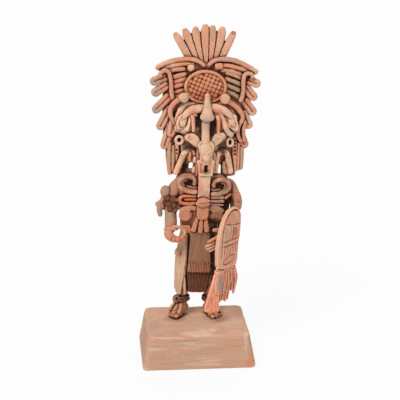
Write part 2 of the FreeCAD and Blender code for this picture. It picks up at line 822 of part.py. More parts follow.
def make_neck():
    neck_top = d.shoulder_height + d.neck_height
    neck_plan = [
        (d.neck_half, d.slab_set_back),
        (-d.neck_half, d.slab_set_back),
        (-d.neck_half, d.core_corner / 2 - d.core_reach),
        (d.core_corner / 2 - d.neck_half, -d.core_reach),
        (d.neck_half - d.core_corner / 2, -d.core_reach),
        (d.neck_half, d.core_corner / 2 - d.core_reach),
    ]
    node("neck", [column(neck_plan, "Sizes.shoulder_height", "Sizes.neck_height")])

    # Under the small mask, from its mouth down to the knot.
    face_low = d.shoulder_height + d.neck_height
    mouth_high = face_low - d.beast_clear - d.beast_height - d.luting_gap
    mouth_low = mouth_high - d.mouth_height
    strip_low = d.belt_height + d.knot_height / 2 + d.luting_gap
    strip = [
        (-d.strip_half * 0.84, strip_low),
        (d.strip_half * 0.84, strip_low),
        (d.strip_half, mouth_low - d.luting_gap),
        (-d.strip_half, mouth_low - d.luting_gap),
    ]
    node("tongue_strip", [relief(strip, "Sizes.strip_thickness", CORE, d.strip_thickness / 5)])

    mouth_outline = upright_box(-d.mouth_half, d.mouth_half, mouth_low, mouth_high)
    mouth_block = plate(mouth_outline, "Sizes.mouth_thickness", CORE)
    hole_half = d.mouth_half - d.mouth_bar
    hole_outline = upright_box(-hole_half, hole_half, mouth_low + d.mouth_bar / 2, mouth_high - d.mouth_bar)
    hole = plate(hole_outline, "Sizes.mouth_thickness", CORE)
    teeth = []
    gap = (d.mouth_height - d.mouth_bar * 1.5) / d.tooth_count
    tooth_reach = d.mouth_half - d.mouth_bar
    for side in SIDES.values():
        for k in range(int(d.tooth_count)):
            tooth_low = mouth_low + d.mouth_bar / 2 + (k + 0.15) * gap
            tooth_high = tooth_low + gap * 0.7
            tooth = upright_box(tooth_reach * 0.5, tooth_reach - d.luting_gap, tooth_low, tooth_high)
            teeth.append(plate(mirrored(tooth, side), "Sizes.mouth_thickness * 0.8", CORE))
    node("mouth_frame", [cut(mouth_block, hole)] + teeth)

    beast_low = mouth_high + d.luting_gap
    beast_high = beast_low + d.beast_height
    beast = [
        (d.beast_half * 0.66, beast_low),
        (d.beast_half * 0.75, beast_low + d.beast_height * 0.15),
        (d.beast_half, beast_low + d.beast_height * 0.45),
        (d.beast_half * 0.78, beast_low + d.beast_height * 0.8),
        (d.beast_half * 0.4, beast_high),
    ]
    beast = beast + [(-x, y) for x, y in reversed(beast)]
    node("beast_head", [relief(beast, "Sizes.beast_thickness", CORE, d.beast_half / 4)])
    ears = []
    for side in SIDES.values():
        across = d.beast_half * 0.73 + d.ear_width * 0.47
        ear = ellipse(across, beast_high - d.ear_height * 0.1, d.ear_width / 2, d.ear_height / 2, 8)
        ears.append(relief(mirrored(ear, side), "Sizes.ear_thickness", CORE, d.ear_width / 6))
    node("beast_ears", ears)
    return beast_high, face_low


def make_masks(beast_high, face_low):
    throat_high = face_low + d.face_height * 0.31
    half = d.throat_size / 2
    throat_corner = d.throat_size / 4
    middle_back = -d.core_reach - half
    throat_plan = [(x, y + middle_back) for x, y in corners_of(half, half, half, throat_corner)]
    throat_low = f"{BEAST_TOP} + Sizes.luting_gap"
    throat_length = (
        "Sizes.shoulder_height + Sizes.neck_height + Sizes.face_height * 0.31"
        f" - {BEAST_TOP} - 2 * Sizes.luting_gap"
    )
    node("throat_tube", [column(throat_plan, throat_low, throat_length)])

    # The recessed block that the large mask is built on, hollowed for the plaque above it.
    face_outline_shares = [(0.42, 0.0), (0.86, 0.04), (1.0, 0.2), (1.0, 0.64), (0.92, 0.9), (0.86, 0.98)]
    face = [(x * d.face_half, face_low + y * d.face_height) for x, y in face_outline_shares]
    face = face + [(-x, y) for x, y in reversed(face)]
    block = plate(face, "Sizes.core_reach + Sizes.slab_set_back", SLAB)
    plaque_up = head_up(1)
    seat_half_width = d.plaque_half_width + d.luting_gap * 2
    seat_half_height = d.plaque_half_height + d.luting_gap * 2
    seat_outline = ellipse(0, plaque_up, seat_half_width, seat_half_height, 16)
    plaque_seat = plate(seat_outline, "Sizes.core_reach + Sizes.slab_set_back", SLAB)
    node("face_block", [cut(block, plaque_seat)])

    def on_face(across_share, up_share):
        return across_share * d.face_half, face_low + up_share * d.face_height

    brow_shares = [
        (0.125, 0.58), (0.28, 0.55), (0.45, 0.54), (0.58, 0.49), (0.655, 0.56),
        (0.655, 0.67), (0.50, 0.74), (0.32, 0.745), (0.125, 0.73),
    ]
    eye_shares = [
        (0.683, 0.567), (0.867, 0.578), (0.977, 0.467), (0.977, 0.156), (0.90, 0.078), (0.783, 0.178),
    ]
    lip_shares = [(0.585, 0.45), (0.66, 0.28), (0.71, 0.14), (0.80, 0.05)]
    brows, eyes, lips = [], [], []
    for side in SIDES.values():
        brow = mirrored([on_face(*pair) for pair in brow_shares], side)
        brows.append(relief(brow, "Sizes.brow_thickness", CORE, d.brow_thickness / 5))
        eye = mirrored([on_face(*pair) for pair in eye_shares], side)
        lid = flat_coil(inset(eye, d.eye_coil / 2), "Sizes.eye_coil", CORE, 6, True)
        iris_at = mirrored([on_face(0.865, 0.37)], side)[0]
        ball = knob(*iris_at, d.iris_size, "Sizes.iris_thickness", CORE, 6)
        eyes += [lid, ball]
        lip = mirrored([on_face(*pair) for pair in lip_shares], side)
        lips.append(flat_coil(lip, "Sizes.lip_coil", CORE))
    node("brows", brows)
    node("eyes", eyes)
    node("lips", lips)

    trunk_low = throat_high
    trunk_high = face_low + d.face_height * 0.92
    trunk = [
        (d.snout_half * 0.5, trunk_low),
        (d.snout_half, trunk_low + d.snout_half * 0.35),
        (d.snout_half, trunk_low + d.snout_half),
        (d.trunk_half, trunk_low + d.snout_half * 1.35),
        (d.trunk_half, trunk_high - d.trunk_half / 2),
        (d.trunk_half / 2, trunk_high),
    ]
    trunk = trunk + [(-x, y) for x, y in reversed(trunk)]
    node("trunk_nose", [relief(trunk, "Sizes.trunk_thickness", CORE, d.trunk_half / 3)])

    fangs = []
    fang_high = face_low + d.face_height * 0.52
    for side in SIDES.values():
        across = side * (d.snout_half + d.luting_gap * 2 + d.fang_width * 0.55)
        fangs.append(relief([
            (across - d.fang_width * 0.24, fang_high - d.fang_length),
            (across + d.fang_width * 0.24, fang_high - d.fang_length),
            (across + d.fang_width / 2, fang_high),
            (across - d.fang_width / 2, fang_high),
        ], "Sizes.fang_thickness", CORE, d.fang_width / 7))
    node("fangs", fangs)


def make_side_ornaments():
    spools = []
    plates = []
    arches = []
    drops = []
    arch_middle = d.neck_half + d.luting_gap + d.arch_coil + d.window_width / 2
    reach = (d.window_width + d.arch_coil) / 2
    spool_across = arch_middle + reach + d.arch_coil / 2 + d.spool_size / 2 + d.luting_gap
    face_low = d.shoulder_height + d.neck_height
    spool_up = face_low - d.spool_size / 2 - d.luting_gap
    plate_low = d.shoulder_height + d.strap_plate_width
    arch_low = d.shoulder_height + d.arch_coil
    for side in SIDES.values():
        outer = doc.addObject("Part::Cylinder", "spool")
        outer.setExpression("Radius", "Sizes.spool_size / 2")
        outer.setExpression("Height", "Sizes.spool_length")
        bore = doc.addObject("Part::Cylinder", "bore")
        bore.setExpression("Radius", "Sizes.spool_bore / 2")
        bore.setExpression("Height", "Sizes.spool_length")
        for cylinder in (outer, bore):
            cylinder.Placement = FreeCAD.Placement(
                V(side * spool_across, d.slab_set_back, spool_up), FreeCAD.Rotation(V(1, 0, 0), 90))
        spools.append(cut(outer, bore))

        half = d.strap_plate_width / 2
        plate_high = min(plate_low + d.strap_plate_height, spool_up - d.spool_size / 2 - d.luting_gap)
        plates.append(relief(mirrored([
            (spool_across - half, plate_low), (spool_across + half, plate_low),
            (spool_across + half, plate_high), (spool_across - half, plate_high),
        ], side), "Sizes.strap_plate_thickness", SLAB, d.strap_plate_thickness / 4))

        arch = [
            (arch_middle - reach, arch_low),
            (arch_middle - reach, arch_low + d.arch_height * 0.75),
            (arch_middle - reach * 0.4, arch_low + d.arch_height),
            (arch_middle + reach * 0.4, arch_low + d.arch_height),
            (arch_middle + reach, arch_low + d.arch_height * 0.75),
            (arch_middle + reach, arch_low),
        ]
        arches.append(flat_coil(mirrored(arch, side), "Sizes.arch_coil", SLAB))
        hang = arch_low + d.arch_height - d.arch_coil / 2 - d.luting_gap
        drops.append(relief(mirrored([
            (arch_middle - d.drop_width * 0.2, hang - d.drop_length),
            (arch_middle + d.drop_width * 0.2, hang - d.drop_length),
            (arch_middle + d.drop_width / 2, hang - d.drop_length * 0.7),
            (arch_middle + d.drop_width * 0.3, hang),
            (arch_middle - d.drop_width * 0.3, hang),
            (arch_middle - d.drop_width / 2, hang - d.drop_length * 0.7),
        ], side), "Sizes.drop_thickness", SLAB, d.drop_thickness / 4))
    node("ear_spools", spools)
    node("dotted_straps", plates)
    node("pendant_arches", arches + drops)

    locks = []
    first = spool_across + d.strap_plate_width / 2 + d.luting_gap + d.lock_coil / 2
    pitch = d.lock_coil + d.luting_gap
    lock_low = d.shoulder_height + d.luting_gap
    for side in SIDES.values():
        for k in range(2):
            across = side * (first + k * pitch)
            top = lock_low + d.lock_length * (1 - 0.34 * k)
            locks.append(flat_coil([(across, lock_low + k * pitch), (across, top)], "Sizes.lock_coil", SLAB))
    node("side_locks", locks)
    return arch_middle, first + pitch + d.lock_coil / 2


# Headdress


def crest_angle(k):
    """Turn from upright of one crest feather, towards the figure's left."""
    return math.radians(d.crest_first + k * d.crest_step)


def notch_corner(turn, root_up):
    """Upper corner of the notch that the crest rises from."""
    return d.crest_notch * math.sin(turn), root_up + d.crest_notch * math.cos(turn)


def make_slab(arch_middle, lock_reach):
    """The headdress slab, with windows beside the neck and a faceted seat for the crest."""
    top = head_up(1) + d.slab_over
    root_up = head_up(1) + d.crest_root_over
    half_step = math.radians(d.crest_step / 2)
    corner_radius = d.crest_radius / math.cos(half_step)
    crest_seat = []
    for k in range(int(d.crest_count) + 1):
        turn = crest_angle(k) - half_step
        crest_seat.append((corner_radius * math.sin(turn), root_up + corner_radius * math.cos(turn)))
    side_shares = [(0.88, 0.6), (0.93, 0.82), (1.0, 1.06), (0.93, 1.18)]
    edge = [(d.headdress_half * share, head_up(up)) for share, up in side_shares]
    edge.append((d.headdress_half * 0.65, top))
    low_half = lock_reach - d.lock_coil
    outline = [(-low_half, d.shoulder_height), (low_half, d.shoulder_height)]
    outline.append((low_half, d.shoulder_height + d.lock_length))
    outline += edge
    outline.append(notch_corner(crest_angle(d.crest_count - 1) + 1.3 * half_step, root_up))
    outline += list(reversed(crest_seat))
    outline.append(notch_corner(crest_angle(0) - 1.3 * half_step, root_up))
    outline += [(-across, up) for across, up in reversed(edge)]
    outline.append((-low_half, d.shoulder_height + d.lock_length))
    slab = plate(outline, "Sizes.slab_thickness", "(-Sizes.slab_set_back - Sizes.slab_thickness)")
    windows = []
    for side in SIDES.values():
        middle = side * arch_middle
        low = d.shoulder_height + d.arch_coil
        half = d.window_width / 2
        windows.append(plate([
            (middle - half, low), (middle + half, low),
            (middle + half, low + d.window_height * 0.7), (middle + half / 2, low + d.window_height),
            (middle - half / 2, low + d.window_height), (middle - half, low + d.window_height * 0.7),
        ], "Sizes.slab_thickness", "(-Sizes.slab_set_back - Sizes.slab_thickness)"))
    node("headdress_slab", [cut(slab, *windows)])
    return root_up


def make_crest(root_up):
    feathers = []
    middle_seat = "(-Sizes.slab_set_back - Sizes.slab_thickness / 2 - Sizes.crest_thickness / 2)"
    start = d.crest_radius + d.luting_gap
    half_step = math.tan(math.radians(d.crest_step / 2))
    root_half = d.crest_radius * half_step - d.luting_gap
    broad_half = min(d.crest_width / 2, (d.crest_radius + d.crest_length * 0.35) * half_step - d.luting_gap)
    feather_shares = [
        (0.0, root_half), (0.35, broad_half), (0.84, d.crest_width / 2), (0.96, d.crest_width / 3),
        (1.0, d.crest_width / 7),
    ]
    for k in range(int(d.crest_count)):
        turn = crest_angle(k)
        sine, cosine = math.sin(turn), math.cos(turn)
        outline = [(half, start + share * d.crest_length) for share, half in feather_shares]
        outline += [(-half, up) for half, up in reversed(outline)]
        placed = [(x * cosine + y * sine, root_up + y * cosine - x * sine) for x, y in outline]
        bevel = root_half / 3
        feathers.append(relief(placed, "Sizes.crest_thickness", middle_seat, bevel, True))
    node("crest_feathers", feathers)


def make_feather_loops(side):
    """Hairpin loops of coil that fan out from the frame strip, turning down from one to the next."""
    loops = []
    half = (d.feather_coil + d.feather_slit) / 2
    width = 2 * half + d.feather_coil + d.feather_gap
    up = head_up(1.095)
    for k in range(int(d.feather_count)):
        turn = math.radians(d.feather_first_turn + k * d.feather_turn_step)
        if k:
            up -= width / math.cos(turn - math.radians(d.feather_turn_step / 2))
        along = (math.cos(turn), -math.sin(turn))
        over = (math.sin(turn), math.cos(turn))
        start = d.headdress_half * (0.86 - 0.02 * k)
        root = (start + width / 2 * math.sin(turn), up)
        length = d.feather_length + k * d.feather_growth - half
        corner = half * math.tan(math.pi / 8)
        line = [(0, half), (length + corner, half), (length + half, corner)]
        line += [(out, -offset) for out, offset in reversed(line)]
        leaf = [
            tuple(at + ahead * out + aside * offset for at, ahead, aside in zip(root, along, over))
            for out, offset in line
        ]
        loops.append(flat_coil(mirrored(leaf, side), "Sizes.feather_coil", SLAB))
    return loops


def make_headdress(arch_middle, lock_reach):
    root_up = make_slab(arch_middle, lock_reach)
    make_crest(root_up)
    plaque_up = head_up(1)
    frame_across = d.headdress_half * 0.83
    face_high = d.shoulder_height + d.neck_height + d.face_height
    rows, strips, knobs, tails = [], [], [], []
    for name, side in SIDES.items():
        node(f"feather_loops_{name}", make_feather_loops(side))

        pitch = d.feather_coil + d.luting_gap
        for k in range(int(d.row_count)):
            up = plaque_up + d.plaque_half_height * 0.42 - k * pitch
            reach = max(0.0, 1 - ((up - plaque_up) / (d.plaque_half_height + d.feather_coil / 2)) ** 2)
            begin = (d.plaque_half_width + d.luting_gap * 4) * math.sqrt(reach) + d.feather_coil * 0.2
            if up - d.feather_coil / 2 < face_high:
                begin = max(begin, d.face_half * 0.94)
            end = frame_across - d.luting_gap * 2
            rows.append(flat_coil(mirrored([(begin, up), (end, up)], side), "Sizes.feather_coil", SLAB))

        frame_shares = [(1.09, 1.085), (1.04, 1.135), (0.95, 1.13), (0.90, 1.04), (0.865, 0.90)]
        strip = [(x * d.headdress_half, head_up(y)) for x, y in frame_shares]
        strips.append(flat_coil(mirrored(strip, side), "Sizes.frame_coil", FEATHER_FRONT))

        tail_shares = [(1.21, 0.86), (1.30, 0.806), (1.27, 0.748), (1.21, 0.689), (1.25, 0.626)]
        tail = [(x * d.face_half, head_up(y)) for x, y in tail_shares]
        knob_at = (side * d.face_half * 0.70, d.shoulder_height + d.neck_height + d.face_height * 0.86)
        knobs.append(knob(*knob_at, d.knob_size, "Sizes.knob_thickness", CORE))
        tails.append(flat_coil(mirrored(tail, side), "Sizes.tail_coil", FEATHER_FRONT))

        coils = []
        step = (d.feather_coil + d.luting_gap) * 1.13
        coil_shares = [(0.07, 1.204), (0.22, 1.234), (0.53, 1.259), (0.93, 1.219), (1.30, 1.139)]
        line = [(x * d.headdress_half, head_up(y)) for x, y in coil_shares]
        for k in range(int(d.top_coil_count)):
            points = [(x, y - k * step) for x, y in line]
            if k:
                # The lower coils start beside the top knob and stop short of the first loop.
                first, last = (points[3], points[4]) if k == 1 else (points[2], points[3])
                end = tuple(a + (b - a) * 0.86 for a, b in zip(first, last))
                points = [(points[2][0] * 0.93, points[2][1]), points[3], end] if k == 1 else [points[2], end]
            coils.append(flat_coil(mirrored(points, side), "Sizes.feather_coil", SLAB))
        node(f"top_coils_{name}", coils)
    node("inner_feathers", rows)
    node("frame_strips", strips)
    node("brow_knobs", knobs)
    node("brow_tails", tails)

    rim_outer = ellipse(0, plaque_up, d.plaque_half_width, d.plaque_half_height, 16)
    disc = plate(rim_outer, "Sizes.plaque_thickness", SLAB)
    grooves = []
    depth_seat = "(Sizes.plaque_thickness - Sizes.slab_set_back - Sizes.groove_depth)"
    inner_width = d.plaque_half_width - d.plaque_rim
    inner_height = d.plaque_half_height - d.plaque_rim
    for upright_lines in (True, False):
        reach, span = (inner_width, inner_height) if upright_lines else (inner_height, inner_width)
        count = int(reach / d.lattice_pitch)
        for k in range(-count, count + 1):
            place = k * d.lattice_pitch
            long_half = span * math.sqrt(1 - (place / reach) ** 2) * 0.96
            half = d.groove_width / 2
            if upright_lines:
                slot = upright_box(place - half, place + half, -long_half, long_half)
            else:
                slot = upright_box(-long_half, long_half, place - half, place + half)
            grooves.append(plate([(x, y + plaque_up) for x, y in slot], "Sizes.groove_depth", depth_seat))
    lattice = doc.addObject("Part::MultiFuse", "lattice")
    lattice.Shapes = grooves
    node("plaque", [cut(disc, lattice)])
    rim_line = inset(rim_outer, d.plaque_rim / 2)
    plaque_front = "(Sizes.plaque_thickness - Sizes.slab_set_back)"
    node("plaque_rim", [flat_coil(rim_line, "Sizes.plaque_rim", plaque_front, 6, True)])

    top_knobs = []
    for side in SIDES.values():
        place = (side * d.plaque_half_width * 0.70, plaque_up + d.plaque_half_height + d.luting_gap)
        top_knobs.append(knob(*place, d.top_knob_size, "Sizes.top_knob_thickness", SLAB))
    node("top_knobs", top_knobs)


# Arms, hands and shield


def make_right_arm(torso):
    """The right arm, bent forward, with a fist closed round an empty staff hole."""
    across = -d.arm_half
    elbow = V(across, -d.arm_size / 4, d.elbow_height)
    wrist = V(across, -d.wrist_reach, d.wrist_height)
    path = [
        V(-d.shoulder_half * 0.7, 0, d.shoulder_height - d.arm_size * 0.8),
        V(across, 0, d.shoulder_height - d.arm_size * 1.4),
        elbow,
        wrist,
    ]
    arm = cut(coil(path, "Sizes.arm_size"), torso)
    node("arm_right", [arm])

    band_half = d.arm_size / 2 + d.armband_wall
    band_up = (d.shoulder_height - d.arm_size * 1.4 + d.elbow_height) / 2
    band_plan = [(across + x, y - d.arm_size / 8) for x, y in ellipse(0, 0, band_half, band_half, 8)]
    band = doc.addObject("Part::Extrusion", "band")
    band.Base = polygon(plan(band_plan, band_up - d.armband_height / 2))
    band.DirMode = "Custom"
    band.Dir = V(0, 0, 1)
    band.setExpression("LengthFwd", "Sizes.armband_height")
    band.Solid = True
    armband = cut(band, arm, torso)
    band_front = d.arm_size / 8 + band_half * math.cos(math.pi / 8)
    beads = []
    for k in (-1, 1):
        bead_across = across + k * (d.bead_size / 2 + d.luting_gap)
        beads.append(knob(bead_across, band_up, d.bead_size, "Sizes.bead_thickness", str(band_front), 6))
    node("armband_right", [armband] + beads)

    pad_at = (across - d.arm_size * 0.5, d.shoulder_height - d.arm_size * 1.3)
    pad_outline = ellipse(*pad_at, d.pad_size * 0.62, d.pad_size / 2, 8)
    pad = relief(pad_outline, "Sizes.pad_size", "(-Sizes.pad_size / 2)", d.pad_size * 0.27, True)
    drop_up = band_up + d.armband_height / 4
    drop_across = across - band_half - d.drop_width / 2
    drop = relief([
        (drop_across - d.drop_width * 0.3, drop_up - d.pad_size * 1.6),
        (drop_across + d.drop_width * 0.3, drop_up - d.pad_size * 1.6),
        (drop_across + d.drop_width / 2, drop_up - d.pad_size * 1.2),
        (drop_across + d.drop_width / 2, drop_up),
        (drop_across - d.drop_width / 2, drop_up),
        (drop_across - d.drop_width / 2, drop_up - d.pad_size * 1.2),
    ], "Sizes.drop_width", "(-Sizes.drop_width / 2)", d.drop_width * 0.2, True)
    node("shoulder_pad_right", [cut(pad, arm, armband), cut(drop, armband)])

    hand_plane = -d.wrist_reach - d.hand_coil / 2
    fist_across = across + d.fist_half_width
    fist_up = d.wrist_height - d.fist_half_height * 1.1

    def on_fist(degrees):
        angle = math.radians(degrees)
        return V(fist_across + d.fist_half_width * math.cos(angle), hand_plane,
                 fist_up + d.fist_half_height * math.sin(angle))

    start = V(across, hand_plane, d.wrist_height + d.hand_coil / 2)
    hand = cut(coil([start] + [on_fist(turn) for turn in (165, 210, 255, 305, 355)], "Sizes.hand_coil"), arm)
    thumb = cut(coil([on_fist(turn) for turn in (130, 90, 45, 0)], "Sizes.thumb_coil"), arm, hand)
    node("hand_right", [hand, thumb])


def shield_point(wide, deep, high):
    """A point given along the shield's width, behind its back and up its height, in the figure's frame."""
    turn = math.radians(d.shield_turn)
    tilt = math.radians(d.shield_tilt)
    flat = wide * math.cos(tilt) + high * math.sin(tilt)
    rise = high * math.cos(tilt) - wide * math.sin(tilt)
    return V(
        d.shield_side + flat * math.cos(turn) - deep * math.sin(turn),
        -d.shield_reach + flat * math.sin(turn) + deep * math.cos(turn),
        d.shield_rise + rise,
    )


SHIELD = (
    f"{FIGURE} * placement(vector(Sizes.shield_side; -Sizes.shield_reach; Sizes.shield_rise); "
    "rotation(vector(0; 0; 1); Sizes.shield_turn)) * "
    "placement(vector(0; 0; 0); rotation(vector(0; 1; 0); Sizes.shield_tilt))"
)


def make_left_arm(torso):
    """The left arm, bent forward behind the shield, with the fingers round its edge."""
    hand_middle = shield_point(-d.shield_width * 0.22, d.palm_thickness, -d.palm_height * 0.2)
    path = [
        V(d.shoulder_half * 0.7, 0, d.shoulder_height - d.arm_size * 0.8),
        V(d.left_arm_half, 0, d.shoulder_height - d.arm_size * 1.3),
        V(d.left_arm_half + d.arm_size * 0.2, 0, d.elbow_height),
        hand_middle,
    ]
    palm_box = doc.addObject("Part::Box", "palm")
    palm_box.setExpression("Length", "Sizes.palm_width")
    palm_box.setExpression("Width", "Sizes.palm_thickness")
    palm_box.setExpression("Height", "Sizes.palm_height")
    turned = FreeCAD.Rotation(V(0, 0, 1), d.shield_turn).multiply(FreeCAD.Rotation(V(0, 1, 0), d.shield_tilt))
    palm_box.Placement = FreeCAD.Placement(
        shield_point(-d.shield_width * 0.5, d.luting_gap, -d.palm_height * 0.7), turned)
    arm = cut(coil(path, "Sizes.arm_size * 0.85"), torso, palm_box)
    node("arm_left", [arm])
    fingers = []
    pitch = d.finger_coil + d.finger_gap
    for k in range(int(d.finger_count)):
        high = k * pitch - d.palm_height * 0.6
        start = shield_point(-d.shield_width / 2 + d.finger_coil / 2, d.palm_thickness / 2, high)
        root = shield_point(-d.shield_width / 2 - d.luting_gap, d.palm_thickness / 2, high)
        bend = root + V(-d.finger_length * 0.45, -d.finger_length * 0.1, 0)
        tip = root + V(-d.finger_length, -d.finger_length * 0.05, -d.finger_length * 0.28)
        fingers.append(cut(coil([start, bend, tip], "Sizes.finger_coil"), palm_box))
    node("hand_left", [palm_box] + fingers)


def make_shield():
    half = d.shield_width / 2
    high = d.shield_height / 2
    board_shares = [
        (-0.92, -1.0), (0.92, -1.0), (1.0, -0.3), (1.0, 0.6), (0.8, 0.9), (0.4, 1.0),
        (-0.05, 0.94), (-0.5, 0.7), (-0.85, 0.25), (-1.0, -0.3),
    ]
    board = [(x * half, y * high) for x, y in board_shares]
    node("shield_board", [relief(board, "Sizes.shield_thickness", "0", d.shield_bevel)], SHIELD)
    rim_line = inset(board, d.shield_bevel + d.shield_rim / 2)
    front_seat = "Sizes.shield_thickness"
    node("shield_rim", [flat_coil(rim_line, "Sizes.shield_rim", front_seat, 6, True)], SHIELD)

    low_edge = -high + d.shield_rim + 2 * d.shield_bevel
    reach = half - d.shield_rim - 2 * d.shield_bevel
    ornaments = []
    boss = ellipse(0, high * 0.52, d.boss_size / 2, d.boss_size / 2, 10)
    ornaments.append(relief(boss, "Sizes.relief_height", front_seat, d.relief_height / 4))
    bar_shares = [(-0.42, 0.23), (0.25, 0.155), (0.62, 0.135)]
    for across_share, half_share in bar_shares:
        middle = across_share * reach
        narrow = half_share * d.boss_size
        ornaments.append(relief([
            (middle - narrow, -high * 0.06), (middle + narrow, -high * 0.02),
            (middle + narrow, high * 0.26), (middle - narrow, high * 0.24),
        ], "Sizes.relief_height", front_seat, d.relief_height / 5))
    band_up = -high * 0.24
    band_reach = reach * 0.92
    band_low = band_up - d.band_width / 2
    ornaments.append(relief([
        (-band_reach, band_low - d.band_width), (band_reach, band_low + d.band_width),
        (band_reach, band_low + 2 * d.band_width), (-band_reach, band_low),
    ], "Sizes.relief_height", front_seat, d.relief_height / 4))
    oval_turn = math.radians(d.oval_turn)
    oval = [
        (x * math.cos(oval_turn) - y * math.sin(oval_turn), x * math.sin(oval_turn) + y * math.cos(oval_turn))
        for x, y in ellipse(0, 0, d.boss_size * 0.72, d.boss_size * 0.36, 10)
    ]
    oval_up = low_edge + d.boss_size * 0.75
    raised = [(x, y + oval_up) for x, y in oval]
    ornaments.append(relief(raised, "Sizes.relief_height", front_seat, d.relief_height / 4))
    node("shield_relief", ornaments, SHIELD)

    roll_up = -high - d.binding_size / 2 - d.luting_gap
    roll = flat_coil([(-half * 0.96, roll_up), (half * 0.96, roll_up)], "Sizes.binding_size", "0")
    node("shield_binding", [roll], SHIELD)

    tufts = []
    pitch = d.tuft_width + d.tuft_gap
    high_end = roll_up - d.binding_size / 2 - d.luting_gap
    count = int(d.tuft_count)
    for k in range(count):
        place = half * 0.9 - d.tuft_width / 2 - k * pitch
        length = d.tuft_length * (0.62 + 0.08 * k if k < 4 else 1.0)
        flare = place + d.tuft_width * 0.4 * (count / 2 - k)
        tufts.append(relief([
            (flare - d.tuft_width * 0.4, high_end - length),
            (flare + d.tuft_width * 0.4, high_end - length * 0.97),
            (place + d.tuft_width / 2, high_end), (place - d.tuft_width / 2, high_end),
        ], "Sizes.tuft_thickness", "Sizes.binding_size / 2 - Sizes.tuft_thickness / 2", d.tuft_width / 8))
    node("shield_fringe", tufts, SHIELD)

    # The long tufts sweep down to the figure's right from the near end of the binding.
    sweeps = []
    for k in range(int(d.sweep_count)):
        root = -half * 0.9 + d.tuft_width * (0.5 + k * 1.08) - half * 0.02
        lean_out = math.tan(math.radians(d.sweep_lean * (1 - 0.15 * k)))
        foot = root - d.sweep_length * lean_out
        low = high_end - d.sweep_length
        sweeps.append(relief([
            (foot - d.tuft_width * 0.5, low), (foot + d.tuft_width * 0.5, low),
            (root + d.tuft_width / 2, high_end), (root - d.tuft_width / 2, high_end),
        ], "Sizes.tuft_thickness", "Sizes.binding_size / 2 + Sizes.tuft_thickness / 2", d.tuft_width / 8))
    node("shield_sweep", sweeps, SHIELD)


make_base()
make_legs()
torso_core = make_body()
beast_top, mask_low = make_neck()
make_masks(beast_top, mask_low)
pendant_middle, locks_reach = make_side_ornaments()
make_headdress(pendant_middle, locks_reach)
make_right_arm(torso_core)
make_left_arm(torso_core)
make_shield()

doc.recompute()
for thing in doc.Objects:
    if "Invalid" in thing.State or "Error" in thing.State:
        raise RuntimeError(f"{thing.Name} {thing.Label} did not build: {thing.State}")
for made in nodes:
    if made.Shape.isNull() or not made.Shape.isValid():
        raise RuntimeError(f"{made.Label} has no valid shape")

os.makedirs("parts", exist_ok=True)
for made in nodes:
    made.Shape.exportStep(f"parts/{made.Label}.step")
print(len(nodes), "nodes,", sum(len(made.Shape.Solids) for made in nodes), "solids")
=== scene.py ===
"""A clay rain god on its base: coils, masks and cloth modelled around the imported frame."""

import math

import bpy
import numpy as np
from bpy.props import FloatProperty, FloatVectorProperty, IntProperty, PointerProperty
from mathutils import Euler, Matrix, Vector, noise
from mathutils.bvhtree import BVHTree
from mathutils.geometry import tessellate_polygon


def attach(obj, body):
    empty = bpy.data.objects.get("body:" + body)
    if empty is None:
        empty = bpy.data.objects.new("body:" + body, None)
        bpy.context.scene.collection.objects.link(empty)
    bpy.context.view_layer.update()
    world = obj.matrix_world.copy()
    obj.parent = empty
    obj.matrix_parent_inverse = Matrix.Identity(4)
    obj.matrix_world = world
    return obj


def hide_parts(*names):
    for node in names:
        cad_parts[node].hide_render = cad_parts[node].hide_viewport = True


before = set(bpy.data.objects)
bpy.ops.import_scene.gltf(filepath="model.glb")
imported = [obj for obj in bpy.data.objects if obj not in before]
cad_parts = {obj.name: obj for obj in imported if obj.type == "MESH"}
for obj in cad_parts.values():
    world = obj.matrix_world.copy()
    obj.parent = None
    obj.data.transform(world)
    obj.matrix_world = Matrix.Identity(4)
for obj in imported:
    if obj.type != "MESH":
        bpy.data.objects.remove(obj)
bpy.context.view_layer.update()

bl_info = {
    "name": "Clay rain god",
    "version": (1, 0, 0),
    "blender": (4, 5, 0),
    "location": "3D View > Sidebar > Clay figure",
    "description": "Models a painted clay figure with a feather headdress, a shield and a base",
    "category": "Object",
}

MM = 0.001

# The figure stands on the base's crown, set back and leaning to its left. Its pieces are
# modelled in millimetres: across, depth (the front is negative) and height above the crown.
PLAIN = Matrix.Identity(4)
FIGURE = Matrix.Translation(Vector((0, 12, 40)) * MM) @ Matrix.Rotation(math.radians(2.3), 4, "Y")
SHIELD = (FIGURE @ Matrix.Translation(Vector((30, -20, 95.5)) * MM)
          @ Matrix.Rotation(math.radians(44), 4, "Z") @ Matrix.Rotation(math.radians(4), 4, "Y"))

# Ways that a tool can face, the planes that its line is drawn in, and the cells of fused clay
BACK, TOP, UNDER = (0, 1, 0), (0, 0, 1), (0, 0, -1)
PLAN, PROFILE = (0, 1), (1, 2)
FINE_CELL, EVEN_CELL, WALL_CELL = 0.5, 0.6, 0.9
BROAD_CELL, TRUNK_CELL, BASE_CELL = ((0.9, 1.0, 1.25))

made = []
finishes = {}


def tint(*levels):
    """A colour as read off a screen, in the linear values that a material takes."""
    shares = [level / 255 for level in levels]
    return tuple(share / 12.92 if share <= 0.04045 else ((share + 0.055) / 1.055) ** 2.4 for share in shares)


def colour_property(label, text, *levels):
    return FloatVectorProperty(
        name=label, description=text, subtype="COLOR", size=3, min=0, max=1, default=tint(*levels))


def length_property(label, text, default):
    return FloatProperty(name=label, description=text, unit="LENGTH", min=0, default=default)


def share_property(label, text, default):
    return FloatProperty(name=label, description=text, subtype="FACTOR", default=default)


def angle_property(label, text, degrees):
    return FloatProperty(name=label, description=text, subtype="ANGLE", default=math.radians(degrees))


# Settings


